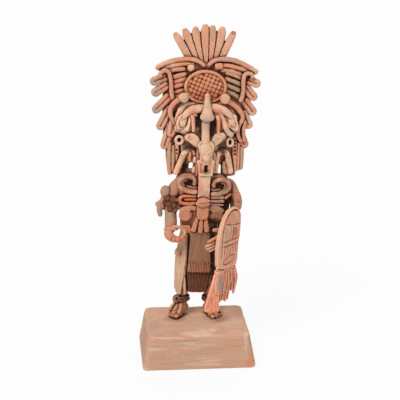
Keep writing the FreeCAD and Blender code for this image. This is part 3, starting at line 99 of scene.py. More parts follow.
class ClaySettings(bpy.types.PropertyGroup):
    coil_step: length_property("Coil step", "Distance between the rings of a rolled coil", 0.0008)
    coil_sides: IntProperty(name="Coil sides", description="Sides of a rolled coil", min=6, default=14)
    unevenness: share_property("Unevenness", "How much a rolled coil swells and thins", 0.07)
    dent: length_property("Dent", "Depth of the finger dents on a coil", 0.0003)
    grain: length_property("Cell", "Size of the cells that a modelled lump is fused with", 0.0007)
    press_depth: share_property("Tool depth", "Depth of the tool lines as a share of the usual", 1.0)
    bump: length_property("Bump", "Height of the clay's grain in the material", 0.00025)
    wash: share_property("Wash", "Strength of the brushed washes", 0.75)
    # Scales how dark the recesses are painted: partly the clay's brown patina and partly painted shade.
    patina_and_painted_shade: share_property("Patina", "Darkness of the stain left in the recesses", 1.0)


class ClayColours(bpy.types.PropertyGroup):
    base: colour_property("Base", "Block under the feet", 204, 162, 136)
    body: colour_property("Body", "Bare clay of the body", 188, 140, 108)
    flesh: colour_property("Hand", "Hand, collar and side coils", 206, 152, 124)
    crest: colour_property("Crest", "Crest feathers", 232, 176, 142)
    feathers: colour_property("Feathers", "Feather coils of the headdress", 204, 150, 120)
    plaque: colour_property("Plaque", "Lattice plaque", 214, 148, 110)
    mask: colour_property("Mask", "Masks of the face", 236, 192, 160)
    strip: colour_property("Tongue strip", "Strip under the small mask", 236, 190, 160)
    belt: colour_property("Belt", "Belt, knot and scrolls", 204, 142, 108)
    apron: colour_property("Apron", "Apron with its fringe", 160, 116, 88)
    skirt: colour_property("Skirt", "Pleated skirt", 116, 76, 54)
    cloak: colour_property("Cloak", "Cloak and its flap", 210, 168, 140)
    shield: colour_property("Shield", "Shield and its fringe", 236, 176, 146)
    salmon: colour_property("Sweep", "Bright side tassels of the shield", 250, 174, 148)
    # Dark is the bands' own colour and a wash, and is also laid among the stains as painted shade on the
    # collar, under the armband and in the mouth.
    dark: colour_property("Bands", "Armband and ankle rolls", 106, 68, 48)
    pink: colour_property("Pink wash", "Pink brushed over the clay", 222, 142, 116)
    cream: colour_property("Cream wash", "Cream brushed over the clay", 232, 196, 164)
    orange: colour_property("Orange wash", "Orange brushed over the clay", 222, 136, 92)
    grey: colour_property("Grey wash", "Grey lilac brushed over the clay", 164, 146, 138)
    green: colour_property("Green wash", "Greenish grey brushed over the clay", 150, 144, 116)
    ember: colour_property("Ember", "Red orange of the belt and the plaque", 200, 104, 66)
    # Rust tints the edges of recesses and soot their depths, partly the clay's patina and partly painted
    # shade; rust is also a wash and a stain, and soot is also laid as painted shadows among the stains.
    rust: colour_property("Rust", "Stain at the edge of a recess", 142, 68, 40)
    soot: colour_property("Soot", "Stain deep in a recess", 22, 10, 6)


class StageSettings(bpy.types.PropertyGroup):
    yaw: angle_property("Camera turn", "Turn round the figure", -4.5)
    rise: angle_property("Camera rise", "Angle above level", 17)
    reach: length_property("Camera distance", "Distance from the figure's middle", 1.6)
    aim: length_property("Aim height", "Height that the camera looks at", 0.18)
    lens: FloatProperty(name="Lens", description="Focal length in millimetres", default=136.6)
    sky: FloatProperty(name="Room light", description="Strength of the even light", default=0.3)
    key: FloatProperty(name="Main light", description="Strength of the main light", default=1.92)
    fill: FloatProperty(name="Fill light", description="Strength of the fill light", default=0.26)
    back: FloatProperty(name="Back light", description="Strength of the light from behind", default=0.7)


def clay():
    return bpy.context.scene.clay_settings


def colours():
    return bpy.context.scene.clay_colours


# Node trees


class Wire:
    """An output of a node. Sums are written with it as with a number."""

    def __init__(self, net, socket):
        self.net = net
        self.socket = socket

    def also(self, label):
        """Another output of the same node."""
        return Wire(self.net, self.socket.node.outputs[label])

    def calc(self, operation, *values, clamp=False):
        return self.net.add("ShaderNodeMath", dict(enumerate(values)), operation=operation, use_clamp=clamp)

    def __add__(self, other):
        return self.calc("ADD", self, other)

    def __sub__(self, other):
        return self.calc("SUBTRACT", self, other)

    def __rsub__(self, other):
        return self.calc("SUBTRACT", other, self)

    def __mul__(self, other):
        return self.calc("MULTIPLY", self, other)

    def __truediv__(self, other):
        return self.calc("DIVIDE", self, other)

    def __pow__(self, other):
        return self.calc("POWER", self, other)


class Net:
    """A node tree that is being built."""

    def __init__(self, tree):
        self.tree = tree
        self.given = {}
        self.result = None

    def add(self, kind, inputs=None, out=0, **settings):
        """A node with its settings, and its inputs linked or set. Returns one of its outputs."""
        built = self.tree.nodes.new(kind)
        for key, value in settings.items():
            setattr(built, key, value)
        self.feed(built, inputs or {})
        return Wire(self, built.outputs[out]) if built.outputs else None

    def feed(self, node, inputs):
        for key, value in inputs.items():
            if isinstance(value, Wire):
                self.tree.links.new(value.socket, node.inputs[key])
            else:
                node.inputs[key].default_value = value

    def noise(self, place, scale, detail=2.0, **more):
        return self.add("ShaderNodeTexNoise", {"Vector": place, "Scale": scale, "Detail": detail, **more})

    def vector(self, operation, *values, **more):
        return self.add("ShaderNodeVectorMath", {**dict(enumerate(values)), **more}, operation=operation)

    def ramp(self, value, low, high, to_low=0.0, to_high=1.0):
        return self.add("ShaderNodeMapRange", {
            "Value": value, "From Min": low, "From Max": high, "To Min": to_low, "To Max": to_high},
            interpolation_type="SMOOTHSTEP")

    def mix(self, share, first, second, blend="MIX"):
        return self.add("ShaderNodeMix", {0: share, 6: first, 7: second}, out=2, data_type="RGBA",
                        blend_type=blend, clamp_factor=True)

    def group(self, name, inputs, out):
        return self.add("ShaderNodeGroup", inputs, out, node_tree=bpy.data.node_groups[name])

    def hand_clay(self, body):
        """Ends a geometry tree: real clay with its finish."""
        body = self.add("GeometryNodeRealizeInstances", {"Geometry": body})
        body = self.add("GeometryNodeSetMaterial", {"Geometry": body, "Material": self.given["Finish"]})
        self.feed(self.result, {"Geometry": body})


def socket_kind(default):
    """The kind of socket that holds a default. A word is the kind itself, with no default."""
    if isinstance(default, str):
        return default
    if isinstance(default, tuple):
        return "Vector" if len(default) == 3 else "Color"
    return "Int" if isinstance(default, int) else "Float"


def new_group(name, kind, inputs, outputs):
    """A node group under construction, from its inputs with their defaults or kinds, and its outputs."""
    net = Net(bpy.data.node_groups.new(name, kind))
    sockets = [("INPUT", *pair) for pair in inputs.items()] + [("OUTPUT", *pair) for pair in outputs.items()]
    for way, label, default in sockets:
        made_socket = net.tree.interface.new_socket(
            name=label, in_out=way, socket_type="NodeSocket" + socket_kind(default))
        if not isinstance(default, str):
            made_socket.default_value = default
    entry = net.tree.nodes.new("NodeGroupInput")
    net.given = {label: Wire(net, entry.outputs[label]) for label in inputs}
    net.result = net.tree.nodes.new("NodeGroupOutput")
    return net


def run_tree(piece, name, values):
    """Runs a geometry tree on an object, and gives its result as a plain mesh object."""
    tree = bpy.data.node_groups[name]
    modifier = piece.modifiers.new(name, "NODES")
    modifier.node_group = tree
    sockets = {item.name: item.identifier for item in tree.interface.items_tree if item.in_out == "INPUT"}
    for label, value in values.items():
        modifier[sockets[label]] = value
    view = bpy.context.evaluated_depsgraph_get()
    view.update()
    mesh = bpy.data.meshes.new_from_object(piece.evaluated_get(view), depsgraph=view)
    own_name = piece.name
    bpy.data.objects.remove(piece)
    return show(own_name, mesh)


def show(name, data):
    data.name = name
    shown = bpy.data.objects.new(name, data)
    bpy.context.scene.collection.objects.link(shown)
    return shown


# Solids of clay, as points in millimetres and faces


def smooth_line(rows, step=0.8):
    """Points along a smooth line through the given ones, with any further columns in step."""
    rows = np.asarray(rows, float)
    padded = np.vstack([2 * rows[0] - rows[1], rows, 2 * rows[-1] - rows[-2]])
    runs = []
    for k in range(len(rows) - 1):
        before, first, second, after = padded[k:k + 4]
        count = max(2, int(np.linalg.norm((second - first)[:3]) / step))
        t = np.linspace(0, 1, count, endpoint=False)[:, None]
        runs.append(0.5 * (2 * first + (second - before) * t
                           + (2 * before - 5 * first + 4 * second - after) * t ** 2
                           + (3 * first - before - 3 * second + after) * t ** 3))
    return np.vstack(runs + [rows[-1:]])


def ring_faces(rings, sides):
    """Faces between rings of points, with a point at each end to close them."""
    first, top = rings * sides, (rings - 1) * sides
    around = [(j, (j + 1) % sides) for j in range(sides)]
    faces = [(low + j, low + after, low + sides + after, low + sides + j)
             for low in range(0, top, sides) for j, after in around]
    for j, after in around:
        faces += [(first, after, j), (first + 1, top + j, top + after)]
    return faces


def rod(rows, flat=1.0, sides=14, dome=1.0):
    """A rolled length of clay along rows of across, depth, height and radius, with round ends."""
    line = smooth_line(rows)
    places, radii = line[:, :3], line[:, 3]
    along = np.gradient(places, axis=0)
    along /= np.linalg.norm(along, axis=1)[:, None]
    parts = [(places, radii, along)]
    for end, way, turns in ((0, -1, (80, 60, 30)), (-1, 1, (30, 60, 80))):
        turns = np.radians(turns)
        steps = places[end] + way * along[end] * radii[end] * dome * np.sin(turns)[:, None]
        cap = (steps, radii[end] * np.cos(turns), np.repeat(along[end][None], 3, axis=0))
        parts.insert(0 if way < 0 else 2, cap)
    places, radii, along = (np.concatenate(columns) for columns in zip(*parts))
    steep = abs(along[:, 1]).max() > 0.93
    across = np.cross(along, (1, 0, 0.0) if steep else (0, 1, 0.0))
    across /= np.linalg.norm(across, axis=1)[:, None]
    out = np.cross(across, along)
    turn = np.linspace(0, 2 * math.pi, sides, endpoint=False)
    rings = (places[:, None] + radii[:, None, None]
             * (across[:, None] * np.cos(turn)[None, :, None]
                + flat * out[:, None] * np.sin(turn)[None, :, None]))
    return np.vstack([rings.reshape(-1, 3), places[:1], places[-1:]]), ring_faces(len(places), sides)


def ball(centre, radii, turn=0.0):
    """A ball of clay pressed to three radii, and turned in the front plane."""
    rings, sides = 15, 22
    lift = np.radians(np.linspace(-84, 84, rings))
    round_by = np.linspace(0, 2 * math.pi, sides, endpoint=False)
    shape = np.stack([
        np.cos(lift)[:, None] * np.cos(round_by), np.cos(lift)[:, None] * np.sin(round_by),
        np.repeat(np.sin(lift)[:, None], sides, axis=1)], axis=2).reshape(-1, 3)
    shape = np.vstack([shape, UNDER, TOP]) * radii
    return moved(shape, Matrix.Rotation(math.radians(turn), 3, "Y")) + centre, ring_faces(rings, sides)


def slab(outline, front, back):
    """A plate on an outline of across and height."""
    outline = np.asarray(outline, float)
    count = len(outline)
    points = np.vstack([np.insert(outline, 1, depth, axis=1) for depth in (front, back)])
    faces = []
    for tri in tessellate_polygon([[Vector(spot) for spot in points[:count]]]):
        faces.append(tuple(tri))
        faces.append(tuple(index + count for index in reversed(tri)))
    for k in range(count):
        after = (k + 1) % count
        faces.append((k, after, count + after, count + k))
    return points, faces


def stack(sections):
    """A solid through level outlines: each is a height and pairs of across and depth."""
    rings = [np.insert(np.asarray(pairs, float), 2, height, axis=1) for height, pairs in sections]
    ends = [rings[0].mean(axis=0, keepdims=True), rings[-1].mean(axis=0, keepdims=True)]
    return np.vstack(rings + ends), ring_faces(len(rings), len(rings[0]))


def rounded_box(half_width, front, back, corner, steps=5):
    """Plan of a box with round corners, from pairs of across and depth."""
    pairs = []
    middles = [(half_width - corner, back - corner, 0), (corner - half_width, back - corner, 90),
               (corner - half_width, front + corner, 180), (half_width - corner, front + corner, 270)]
    for x, y, start in middles:
        for k in range(steps + 1):
            turn = math.radians(start + 90 * k / steps)
            pairs.append((x + corner * math.cos(turn), y + corner * math.sin(turn)))
    return pairs


def oval(centre, radii, count=40, tilt=0.0):
    """Points round an oval in the front plane, as across and height."""
    turn = np.linspace(0, 2 * math.pi, count, endpoint=False)
    x, z = radii[0] * np.cos(turn), radii[1] * np.sin(turn)
    lean = math.radians(tilt)
    return np.column_stack([centre[0] + x * math.cos(lean) - z * math.sin(lean),
                            centre[1] + x * math.sin(lean) + z * math.cos(lean)])


def closed_oval(*shape):
    """An oval whose last point is its first, for a tool line."""
    ring = oval(*shape)
    return np.vstack([ring, ring[:1]])


def joined(solids):
    """Points and faces of several solids as one."""
    points, faces, start = [], [], 0
    for own_points, own_faces in solids:
        points.append(own_points)
        faces += [tuple(index + start for index in face) for face in own_faces]
        start += len(own_points)
    return np.vstack(points), faces


def plain_mesh(name, points, faces):
    mesh = bpy.data.meshes.new(name)
    mesh.from_pydata(points.tolist(), [], faces)
    return mesh


def column_of(items, name, width=3, kind=float):
    """One property of many vertices or corners, in rows."""
    values = np.empty(len(items) * width, dtype=kind)
    items.foreach_get(name, values)
    return values.reshape(-1, width) if width > 1 else values


def spots_of(mesh):
    return column_of(mesh.vertices, "co")


def set_spots(mesh, spots):
    mesh.vertices.foreach_set("co", np.ascontiguousarray(spots).ravel())
    mesh.update()


def moved(spots, place):
    """Points turned, and shifted where the matrix has a fourth column."""
    turn = np.array(place)
    return spots @ turn[:3, :3].T + (turn[:3, 3] if len(turn) > 3 else 0)


def noise_at(spots, size, seed):
    """Smooth noise from -1 to 1 at points, with waves of a size."""
    shift = Vector((seed * 7.31, seed * 3.17, seed * 5.73))
    return np.array([noise.noise(Vector(spot) / size + shift) for spot in spots.tolist()])


def line_gap(pairs, line):
    """Distance from each pair to a bent line of pairs."""
    line = np.asarray(line, float)
    best = np.full(len(pairs), np.inf)
    for first, second in zip(line[:-1], line[1:]):
        run = second - first
        size = max(float(run @ run), 1e-9)
        share = np.clip(((pairs - first) @ run) / size, 0, 1)
        best = np.minimum(best, np.linalg.norm(pairs - first - share[:, None] * run, axis=1))
    return best


class Lump:
    """Solids of clay worked into one, then pressed with tools and fingers."""

    def __init__(self, solids, cell=None, relax=4):
        points, faces = joined(solids)
        rough = show("lump", plain_mesh("lump", points * MM, faces))
        remesh = rough.modifiers.new("fuse", "REMESH")
        remesh.mode = "VOXEL"
        remesh.voxel_size = (cell or clay().grain / MM) * MM
        smooth = rough.modifiers.new("relax", "SMOOTH")
        smooth.factor = 0.5
        smooth.iterations = relax
        view = bpy.context.evaluated_depsgraph_get()
        view.update()
        self.mesh = bpy.data.meshes.new_from_object(rough.evaluated_get(view), depsgraph=view)
        bpy.data.objects.remove(rough)
        if not len(self.mesh.vertices):
            raise RuntimeError("a lump of clay came out empty")

    def shape(self):
        return spots_of(self.mesh) / MM, column_of(self.mesh.vertices, "normal")

    def press(self, line, width, depth, facing=(0, -1, 0), flat=(0, 2), within=None):
        """A tool line: moves the clay away from the side that it faces, or up with a depth under 0."""
        spots, normals = self.shape()
        facing = np.asarray(facing, float)
        gap = line_gap(spots[:, list(flat)], line)
        share = np.clip(1 - (gap / width) ** 2, 0, 1) ** 1.5 * np.clip(normals @ facing * 1.6, 0, 1)
        if within is not None:
            share = share * within(spots)
        set_spots(self.mesh, (spots - facing * (share * depth * clay().press_depth)[:, None]) * MM)
        return self

    def prick(self, spot, width, depth, length=0.1):
        """A mark of a round stick."""
        return self.press([spot, (spot[0] + length, spot[1])], width, depth)

    def roughen(self, amount=0.25, size=5.0, seed=1):
        spots, normals = self.shape()
        lift = noise_at(spots, size, seed) * amount + noise_at(spots, size / 3.2, seed + 9) * amount * 0.35
        set_spots(self.mesh, (spots + normals * lift[:, None]) * MM)
        return self

    def piece(self, name, place=FIGURE):
        set_spots(self.mesh, moved(spots_of(self.mesh), place))
        return show(name, self.mesh)

    def keep(self, name, slot_name, *nodes):
        keep(self.piece(name), slot_name, *nodes)


def build_coil_tree():
    """Geometry tree that rolls a coil of clay along each spline, with round ends and finger dents."""
    net = new_group("rolled coil", "GeometryNodeTree", {
        "Geometry": "Geometry", "Step": 0.0008, "Sides": 14, "Unevenness": 0.06, "Dent": 0.0002,
        "Round Ends": 1.0, "Seed": 0.0, "Finish": "Material"}, {"Geometry": "Geometry"})
    given = net.given
    smooth = net.add("GeometryNodeCurveSplineType", {"Curve": given["Geometry"]}, spline_type="CATMULL_ROM")
    line = net.add("GeometryNodeResampleCurve", {"Curve": smooth, "Length": given["Step"]}, mode="LENGTH")
    own_radius = net.add("GeometryNodeInputRadius")
    gone = net.add("GeometryNodeSplineParameter", out="Length")
    whole = net.add("GeometryNodeSplineLength")
    share = gone.calc("DIVIDE", gone.calc("MINIMUM", gone, whole - gone), own_radius, clamp=True)
    dome = share.calc("MAXIMUM", share.calc("SQRT", 1.0 - (1.0 - share) ** 2.0), 0.03)
    ends = dome * given["Round Ends"] + (1.0 - given["Round Ends"])
    shift = net.add("ShaderNodeCombineXYZ", {0: given["Seed"], 1: given["Seed"]})
    place = net.vector("ADD", net.add("GeometryNodeInputPosition"), shift)
    swell = (net.noise(place, 130.0, 1.0) - 0.5) * 4.0 * given["Unevenness"] + 1.0
    section = net.add("GeometryNodeCurvePrimitiveCircle", {"Resolution": given["Sides"], "Radius": 1.0})
    body = net.add("GeometryNodeCurveToMesh", {
        "Curve": line, "Profile Curve": section, "Scale": own_radius * ends * swell, "Fill Caps": True})
    dents = (net.noise(place, 320.0) - 0.55) * (given["Dent"] * 3.0)
    push = net.vector("SCALE", net.add("GeometryNodeInputNormal"), Scale=dents)
    net.hand_clay(net.add("GeometryNodeSetPosition", {"Geometry": body, "Offset": push}))


def coils(name, lines, slot_name, place=FIGURE, closed=False, flat=1.0, seed=1.0, even=1.0):
    """Coils of clay along lines of across, depth, height and radius, as one object."""
    settings = clay()
    curve = bpy.data.curves.new(name, "CURVE")
    curve.dimensions = "3D"
    for rows in lines:
        spline = curve.splines.new("POLY")
        spline.points.add(len(rows) - 1)
        spline.use_cyclic_u = closed
        for point, (x, y, z, radius) in zip(spline.points, rows):
            point.co = (x * MM, y * MM, z * MM, 1)
            point.radius = radius * MM
    rolled = run_tree(show(name, curve), "rolled coil", {
        "Step": settings.coil_step, "Sides": settings.coil_sides, "Unevenness": settings.unevenness * even,
        "Dent": settings.dent * even, "Round Ends": 0.0 if closed else 1.0, "Seed": seed,
        "Finish": finishes[slot_name]})
    spots = spots_of(rolled.data)
    if flat != 1.0:
        middle = np.mean([row[1] for rows in lines for row in rows]) * MM
        spots[:, 1] = middle + (spots[:, 1] - middle) * flat
    set_spots(rolled.data, moved(spots, place))
    bpy.data.curves.remove(curve)
    return rolled


def build_bead_tree():
    """Geometry tree that sets a bead of clay on each point."""
    net = new_group("beads", "GeometryNodeTree", {
        "Geometry": "Geometry", "Radius": 0.002, "Variation": 0.15, "Seed": 3, "Finish": "Material",
    }, {"Geometry": "Geometry"})
    given = net.given
    grain = net.add("GeometryNodeMeshIcoSphere", {"Radius": given["Radius"], "Subdivisions": 3})
    size = net.add("FunctionNodeRandomValue", {
        2: 1.0 - given["Variation"], 3: given["Variation"] + 1.0, "Seed": given["Seed"]},
        out=1, data_type="FLOAT")
    beads = net.add("GeometryNodeInstanceOnPoints", {
        "Points": given["Geometry"], "Instance": grain, "Scale": size})
    beads = net.add("GeometryNodeRealizeInstances", {"Geometry": beads})
    wave = net.noise(net.add("GeometryNodeInputPosition"), 260.0)
    push = net.vector("SCALE", net.add("GeometryNodeInputNormal"),
                      Scale=(wave - 0.5) * (given["Radius"] * 0.5))
    net.hand_clay(net.add("GeometryNodeSetPosition", {"Geometry": beads, "Offset": push}))


def beads(name, centres, radius, slot_name, seed):
    points = moved(np.asarray(centres, float) * MM, FIGURE)
    return run_tree(show(name, plain_mesh(name, points, [])), "beads", {
        "Radius": radius * MM, "Variation": 0.12, "Seed": seed, "Finish": finishes[slot_name]})


def build_pad_tree():
    """Geometry tree that fills an oval with a tilted lattice of pressed clay pads."""
    net = new_group("lattice pads", "GeometryNodeTree", {
        "Geometry": "Geometry", "Half Width": 0.02, "Half Height": 0.016, "Pitch": 0.0044, "Tilt": -0.36,
        "Pad": 0.0034, "Seed": 4, "Finish": "Material"}, {"Geometry": "Geometry"})
    given = net.given
    count = 15
    reach = given["Pitch"] * float(count - 1)
    grid = net.add("GeometryNodeMeshGrid", {
        "Size X": reach, "Size Y": reach, "Vertices X": count, "Vertices Y": count})
    turn = net.add("ShaderNodeCombineXYZ", {2: given["Tilt"]})
    grid = net.add("GeometryNodeTransform", {"Geometry": grid, "Rotation": turn})
    own = net.add("GeometryNodeInputPosition")
    across = net.add("ShaderNodeSeparateXYZ", {0: own})
    shares = (across / given["Half Width"], across.also("Y") / given["Half Height"])
    wide, high = (share.calc("ABSOLUTE", share) ** 2.0 for share in shares)
    grid = net.add("GeometryNodeDeleteGeometry", {
        "Geometry": grid, "Selection": wide.calc("GREATER_THAN", wide + high, 1.0)}, domain="POINT")
    points = net.add("GeometryNodeMeshToPoints", {"Mesh": grid})
    pad = net.add("GeometryNodeMeshCube", {
        "Size": (1, 1, 1), "Vertices X": 4, "Vertices Y": 4, "Vertices Z": 3})
    round_pad = net.vector("SCALE", net.vector("NORMALIZE", own), Scale=0.62)
    soft = net.add("ShaderNodeMix", {0: 0.42, 4: own, 5: round_pad}, out=1, data_type="VECTOR")
    pad = net.add("GeometryNodeSetPosition", {"Geometry": pad, "Position": soft})
    size = net.add("FunctionNodeRandomValue", {2: 0.86, 3: 1.12, "Seed": given["Seed"]},
                   out=1, data_type="FLOAT")
    size = size * given["Pad"]
    scale = net.add("ShaderNodeCombineXYZ", {0: size, 1: size, 2: size * 0.75})
    net.hand_clay(net.add("GeometryNodeInstanceOnPoints", {
        "Points": points, "Instance": pad, "Rotation": turn, "Scale": scale}))


def merged(name, pieces):
    """Several objects as one."""
    points, faces, start = [], [], 0
    for part in pieces:
        mesh = part.data
        points.append(spots_of(mesh))
        sizes = column_of(mesh.polygons, "loop_total", 1, np.int32)
        corners = column_of(mesh.loops, "vertex_index", 1, np.int32)
        faces += [face.tolist() for face in np.split(corners + start, np.cumsum(sizes)[:-1])]
        start += len(mesh.vertices)
        bpy.data.objects.remove(part)
        bpy.data.meshes.remove(mesh)
    return show(name, plain_mesh(name, np.vstack(points), faces))


def keep(piece, slot_name, *nodes):
    """Finishes a piece: gives it its material, shades it smooth, hangs it under the root, hides the CAD
    nodes that it stands for, and lists it among the made pieces.
    """
    mesh = piece.data
    mesh.materials.clear()
    mesh.materials.append(finishes[slot_name])
    mesh.polygons.foreach_set("use_smooth", np.ones(len(mesh.polygons), dtype=bool))
    mesh.update()
    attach(piece, "root")
    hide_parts(*nodes)
    made.append(piece)


def keep_coils(name, slot_name, lines, *nodes, **how):
    """A piece that is made of coils alone."""
    keep(coils(name, lines, slot_name, **how), slot_name, *nodes)


# Points of the figure, in millimetres: across and height, at a depth


def spread(values, count):
    """A value, or a list of them spread evenly, for each of a count of points."""
    values = np.atleast_1d(values)
    return np.interp(np.linspace(0, 1, count), np.linspace(0, 1, len(values)), values)


def at(depths, pairs, radii):
    """Rows of across, depth, height and radius."""
    count = len(pairs)
    return [(x, y, z, r) for (x, z), y, r in zip(pairs, spread(depths, count), spread(radii, count))]


def hairpin(tip, inner, radius, half, depth):
    """A coil folded back on itself, with its bend at the tip and both ends at the inner side."""
    tip, inner = np.array(tip, float), np.array(inner, float)
    along = (inner - tip) / np.linalg.norm(inner - tip)
    side = np.array((-along[1], along[0]))
    middle = tip + along * half
    rows = [(*(inner + side * half), radius), (*((inner + middle) / 2 + side * half), radius)]
    for turn in np.radians(np.linspace(90, 270, 7)):
        rows.append((*(middle + along * math.cos(turn) * half + side * math.sin(turn) * half), radius))
    rows += [(*((inner + middle) / 2 - side * half), radius), (*(inner - side * half), radius)]
    return [(x, depth, z, r) for x, z, r in rows]


class ClayOperator:
    bl_options = {"REGISTER", "UNDO"}


class OBJECT_OT_base_block(ClayOperator, bpy.types.Operator):
    """Base: a block with sloping sides and a low crown, smoothed by hand"""
    bl_idname = "clay.base_block"
    bl_label = "Base block"

    def execute(self, context):
        levels = [(0.2, 59.8, 47.9, 4), (3, 60, 48, 5), (12, 58.2, 46.8, 5), (24, 56, 45.4, 6),
                  (33, 54.2, 44.4, 6), (36, 53.2, 43.6, 5), (37, 51.6, 42.2, 5), (38.4, 46, 37, 7),
                  (39.6, 41, 31.5, 8), (40, 36, 27, 8)]
        block = Lump([stack([(z, rounded_box(w, -d, d, c)) for z, w, d, c in levels])], cell=BASE_CELL,
                     relax=1)
        floor = rounded_box(50, -38, 38, 3, steps=2)
        block.press(floor + floor[:1], 1.6, 1.1, facing=UNDER, flat=PLAN, within=lambda s: s[:, 2] < 2)
        block.press([(24, 0), (24.1, 0)], 7.5, 7, facing=UNDER, flat=PLAN, within=lambda s: s[:, 2] < 9)
        spots, normals = block.shape()
        upper = np.clip((spots[:, 2] - 1.5) / 6, 0, 1)
        lift = noise_at(spots, 26, 3) * 0.55 + noise_at(spots, 9, 5) * 0.22 + noise_at(spots, 3.4, 8) * 0.1
        set_spots(block.mesh, (spots + normals * (lift * upper)[:, None]) * MM)
        for centre, radii, tilt in (((-20, -2), (18, 13), 28), ((22, -6), (17, 12), -20)):
            block.press(closed_oval(centre, radii, 36, tilt), 1.5, 0.55, facing=TOP, flat=PLAN,
                        within=lambda s: s[:, 2] > 34)
        keep(block.piece("base_block", PLAIN), "clay_base", "base_shell", "base_floor")
        return {"FINISHED"}


def foot(side, ankle, heading):
    """Solids and coil lines of a sandalled foot on the base, turned out by its heading."""
    heading = np.array(heading, float) / np.linalg.norm(heading)
    across = np.array((-heading[1], heading[0]))

    def on(along, aside, height):
        x, y = np.array(ankle) + heading * along + across * aside
        return (x, y, height)

    body = [rod([(*on(-4, 0, 7), 5.5), (*on(2, 0, 7), 6.2), (*on(8, 0, 4.2), 4.6), (*on(12, 0, 2.4), 2.8)]),
            rod([(*on(6, -4, 2.4), 2.6), (*on(11, -4.8, 2), 2)]),
            rod([(*on(6, 4, 2.4), 2.6), (*on(11, 4.8, 2), 2)]),
            rod([(*on(-1, 0, 9), 5.4), (*on(-0.5, 0, 18), 5.6)])]
    toes = []
    for aside, reach, radius in ((-6.6, 13.6, 1.5), (-3.6, 15.6, 1.6), (-0.5, 16.6, 1.7), (2.8, 16.8, 1.8),
                                 (6.4, 16, 2.3)):
        aside = aside * side
        toes.append([(*on(9.5, aside * 0.8, 3), radius), (*on(reach, aside, 1.4), radius)])
    straps = []
    for aside, height in ((-6.2, 2.6), (0, 4.2), (6.2, 2.6)):
        straps.append([(*on(2.5, aside * 0.4, 16), 2.2), (*on(7.5, aside * 0.9, 9.4), 2.2),
                       (*on(11.6, aside * 1.05, height + 1.4), 1.9)])
    return body, toes, straps


class OBJECT_OT_legs_and_feet(ClayOperator, bpy.types.Operator):
    """Legs, sandalled feet with five toes each, ankle rolls and straps"""
    bl_idname = "clay.legs_and_feet"
    bl_label = "Legs and feet"

    def execute(self, context):
        shins = Lump([rod([(-15, 0, 14, 4.6), (-13.5, 0, 30, 5)]),
                      rod([(14.2, 0, 14, 4.6), (12.8, 0, 30, 5)])])
        shins.roughen(0.2, 6, 4).keep("shins", "clay_body", "legs")
        left = foot(1, (-15.5, 0), (-0.74, -0.67))
        right = foot(-1, (15.5, 0), (0.55, -0.83))
        soles = Lump(left[0] + right[0], cell=EVEN_CELL, relax=2).roughen(0.15, 4, 6)
        toes = coils("toe_rolls", left[1] + right[1], "clay_body", seed=6, even=0.7)
        keep(merged("sandalled_feet", [soles.piece("soles"), toes]), "clay_body", "foot_left", "foot_right",
             "toes")
        turns = []
        for x, lean in ((-14.8, 1.2), (14.4, -1)):
            for height, radius in ((17.9, 1.9), (20.8, 1.5)):
                ring = oval((x, -0.5), (6.6, 6.4), 20)
                turns.append([(px, pz, height + (px - x) * 0.06 * lean, radius) for px, pz in ring])
        turns.append([(x, -5 + (x + 21) * 0.3, z, 1.7) for x, z in oval((-21.4, 19.4), (2.9, 3.4), 16)])
        keep_coils("ankle_rolls", "clay_dark", turns, "ankle_cuffs", closed=True, seed=4)
        keep_coils("sandal_bands", "clay_body", left[2] + right[2], "sandal_straps", seed=5)
        return {"FINISHED"}


class OBJECT_OT_trunk(ClayOperator, bpy.types.Operator):
    """Body from the hips to the shoulders, with the neck behind the masks"""
    bl_idname = "clay.trunk"
    bl_label = "Body"

    def execute(self, context):
        levels = [(92, 19, 8.4), (104, 20.5, 8.8), (118, 20, 8.8), (130, 21.5, 8.8), (140, 25, 8.8),
                  (149, 27.5, 8.2), (155.5, 26, 6.6), (159, 21, 4)]
        core = [stack([(z, rounded_box(w, -d, d, d * 0.8)) for z, w, d in levels])]
        core.append(stack([(z,
                            rounded_box(w, -d, 2,
                                        2.5)) for z, w, d in ((150, 8, 9), (170, 7, 8.6), (206, 6.5, 8.6))]))
        body = Lump(core, cell=TRUNK_CELL).roughen(0.3, 8, 2)
        body.keep("trunk_core", "clay_body", "torso", "neck")
        return {"FINISHED"}


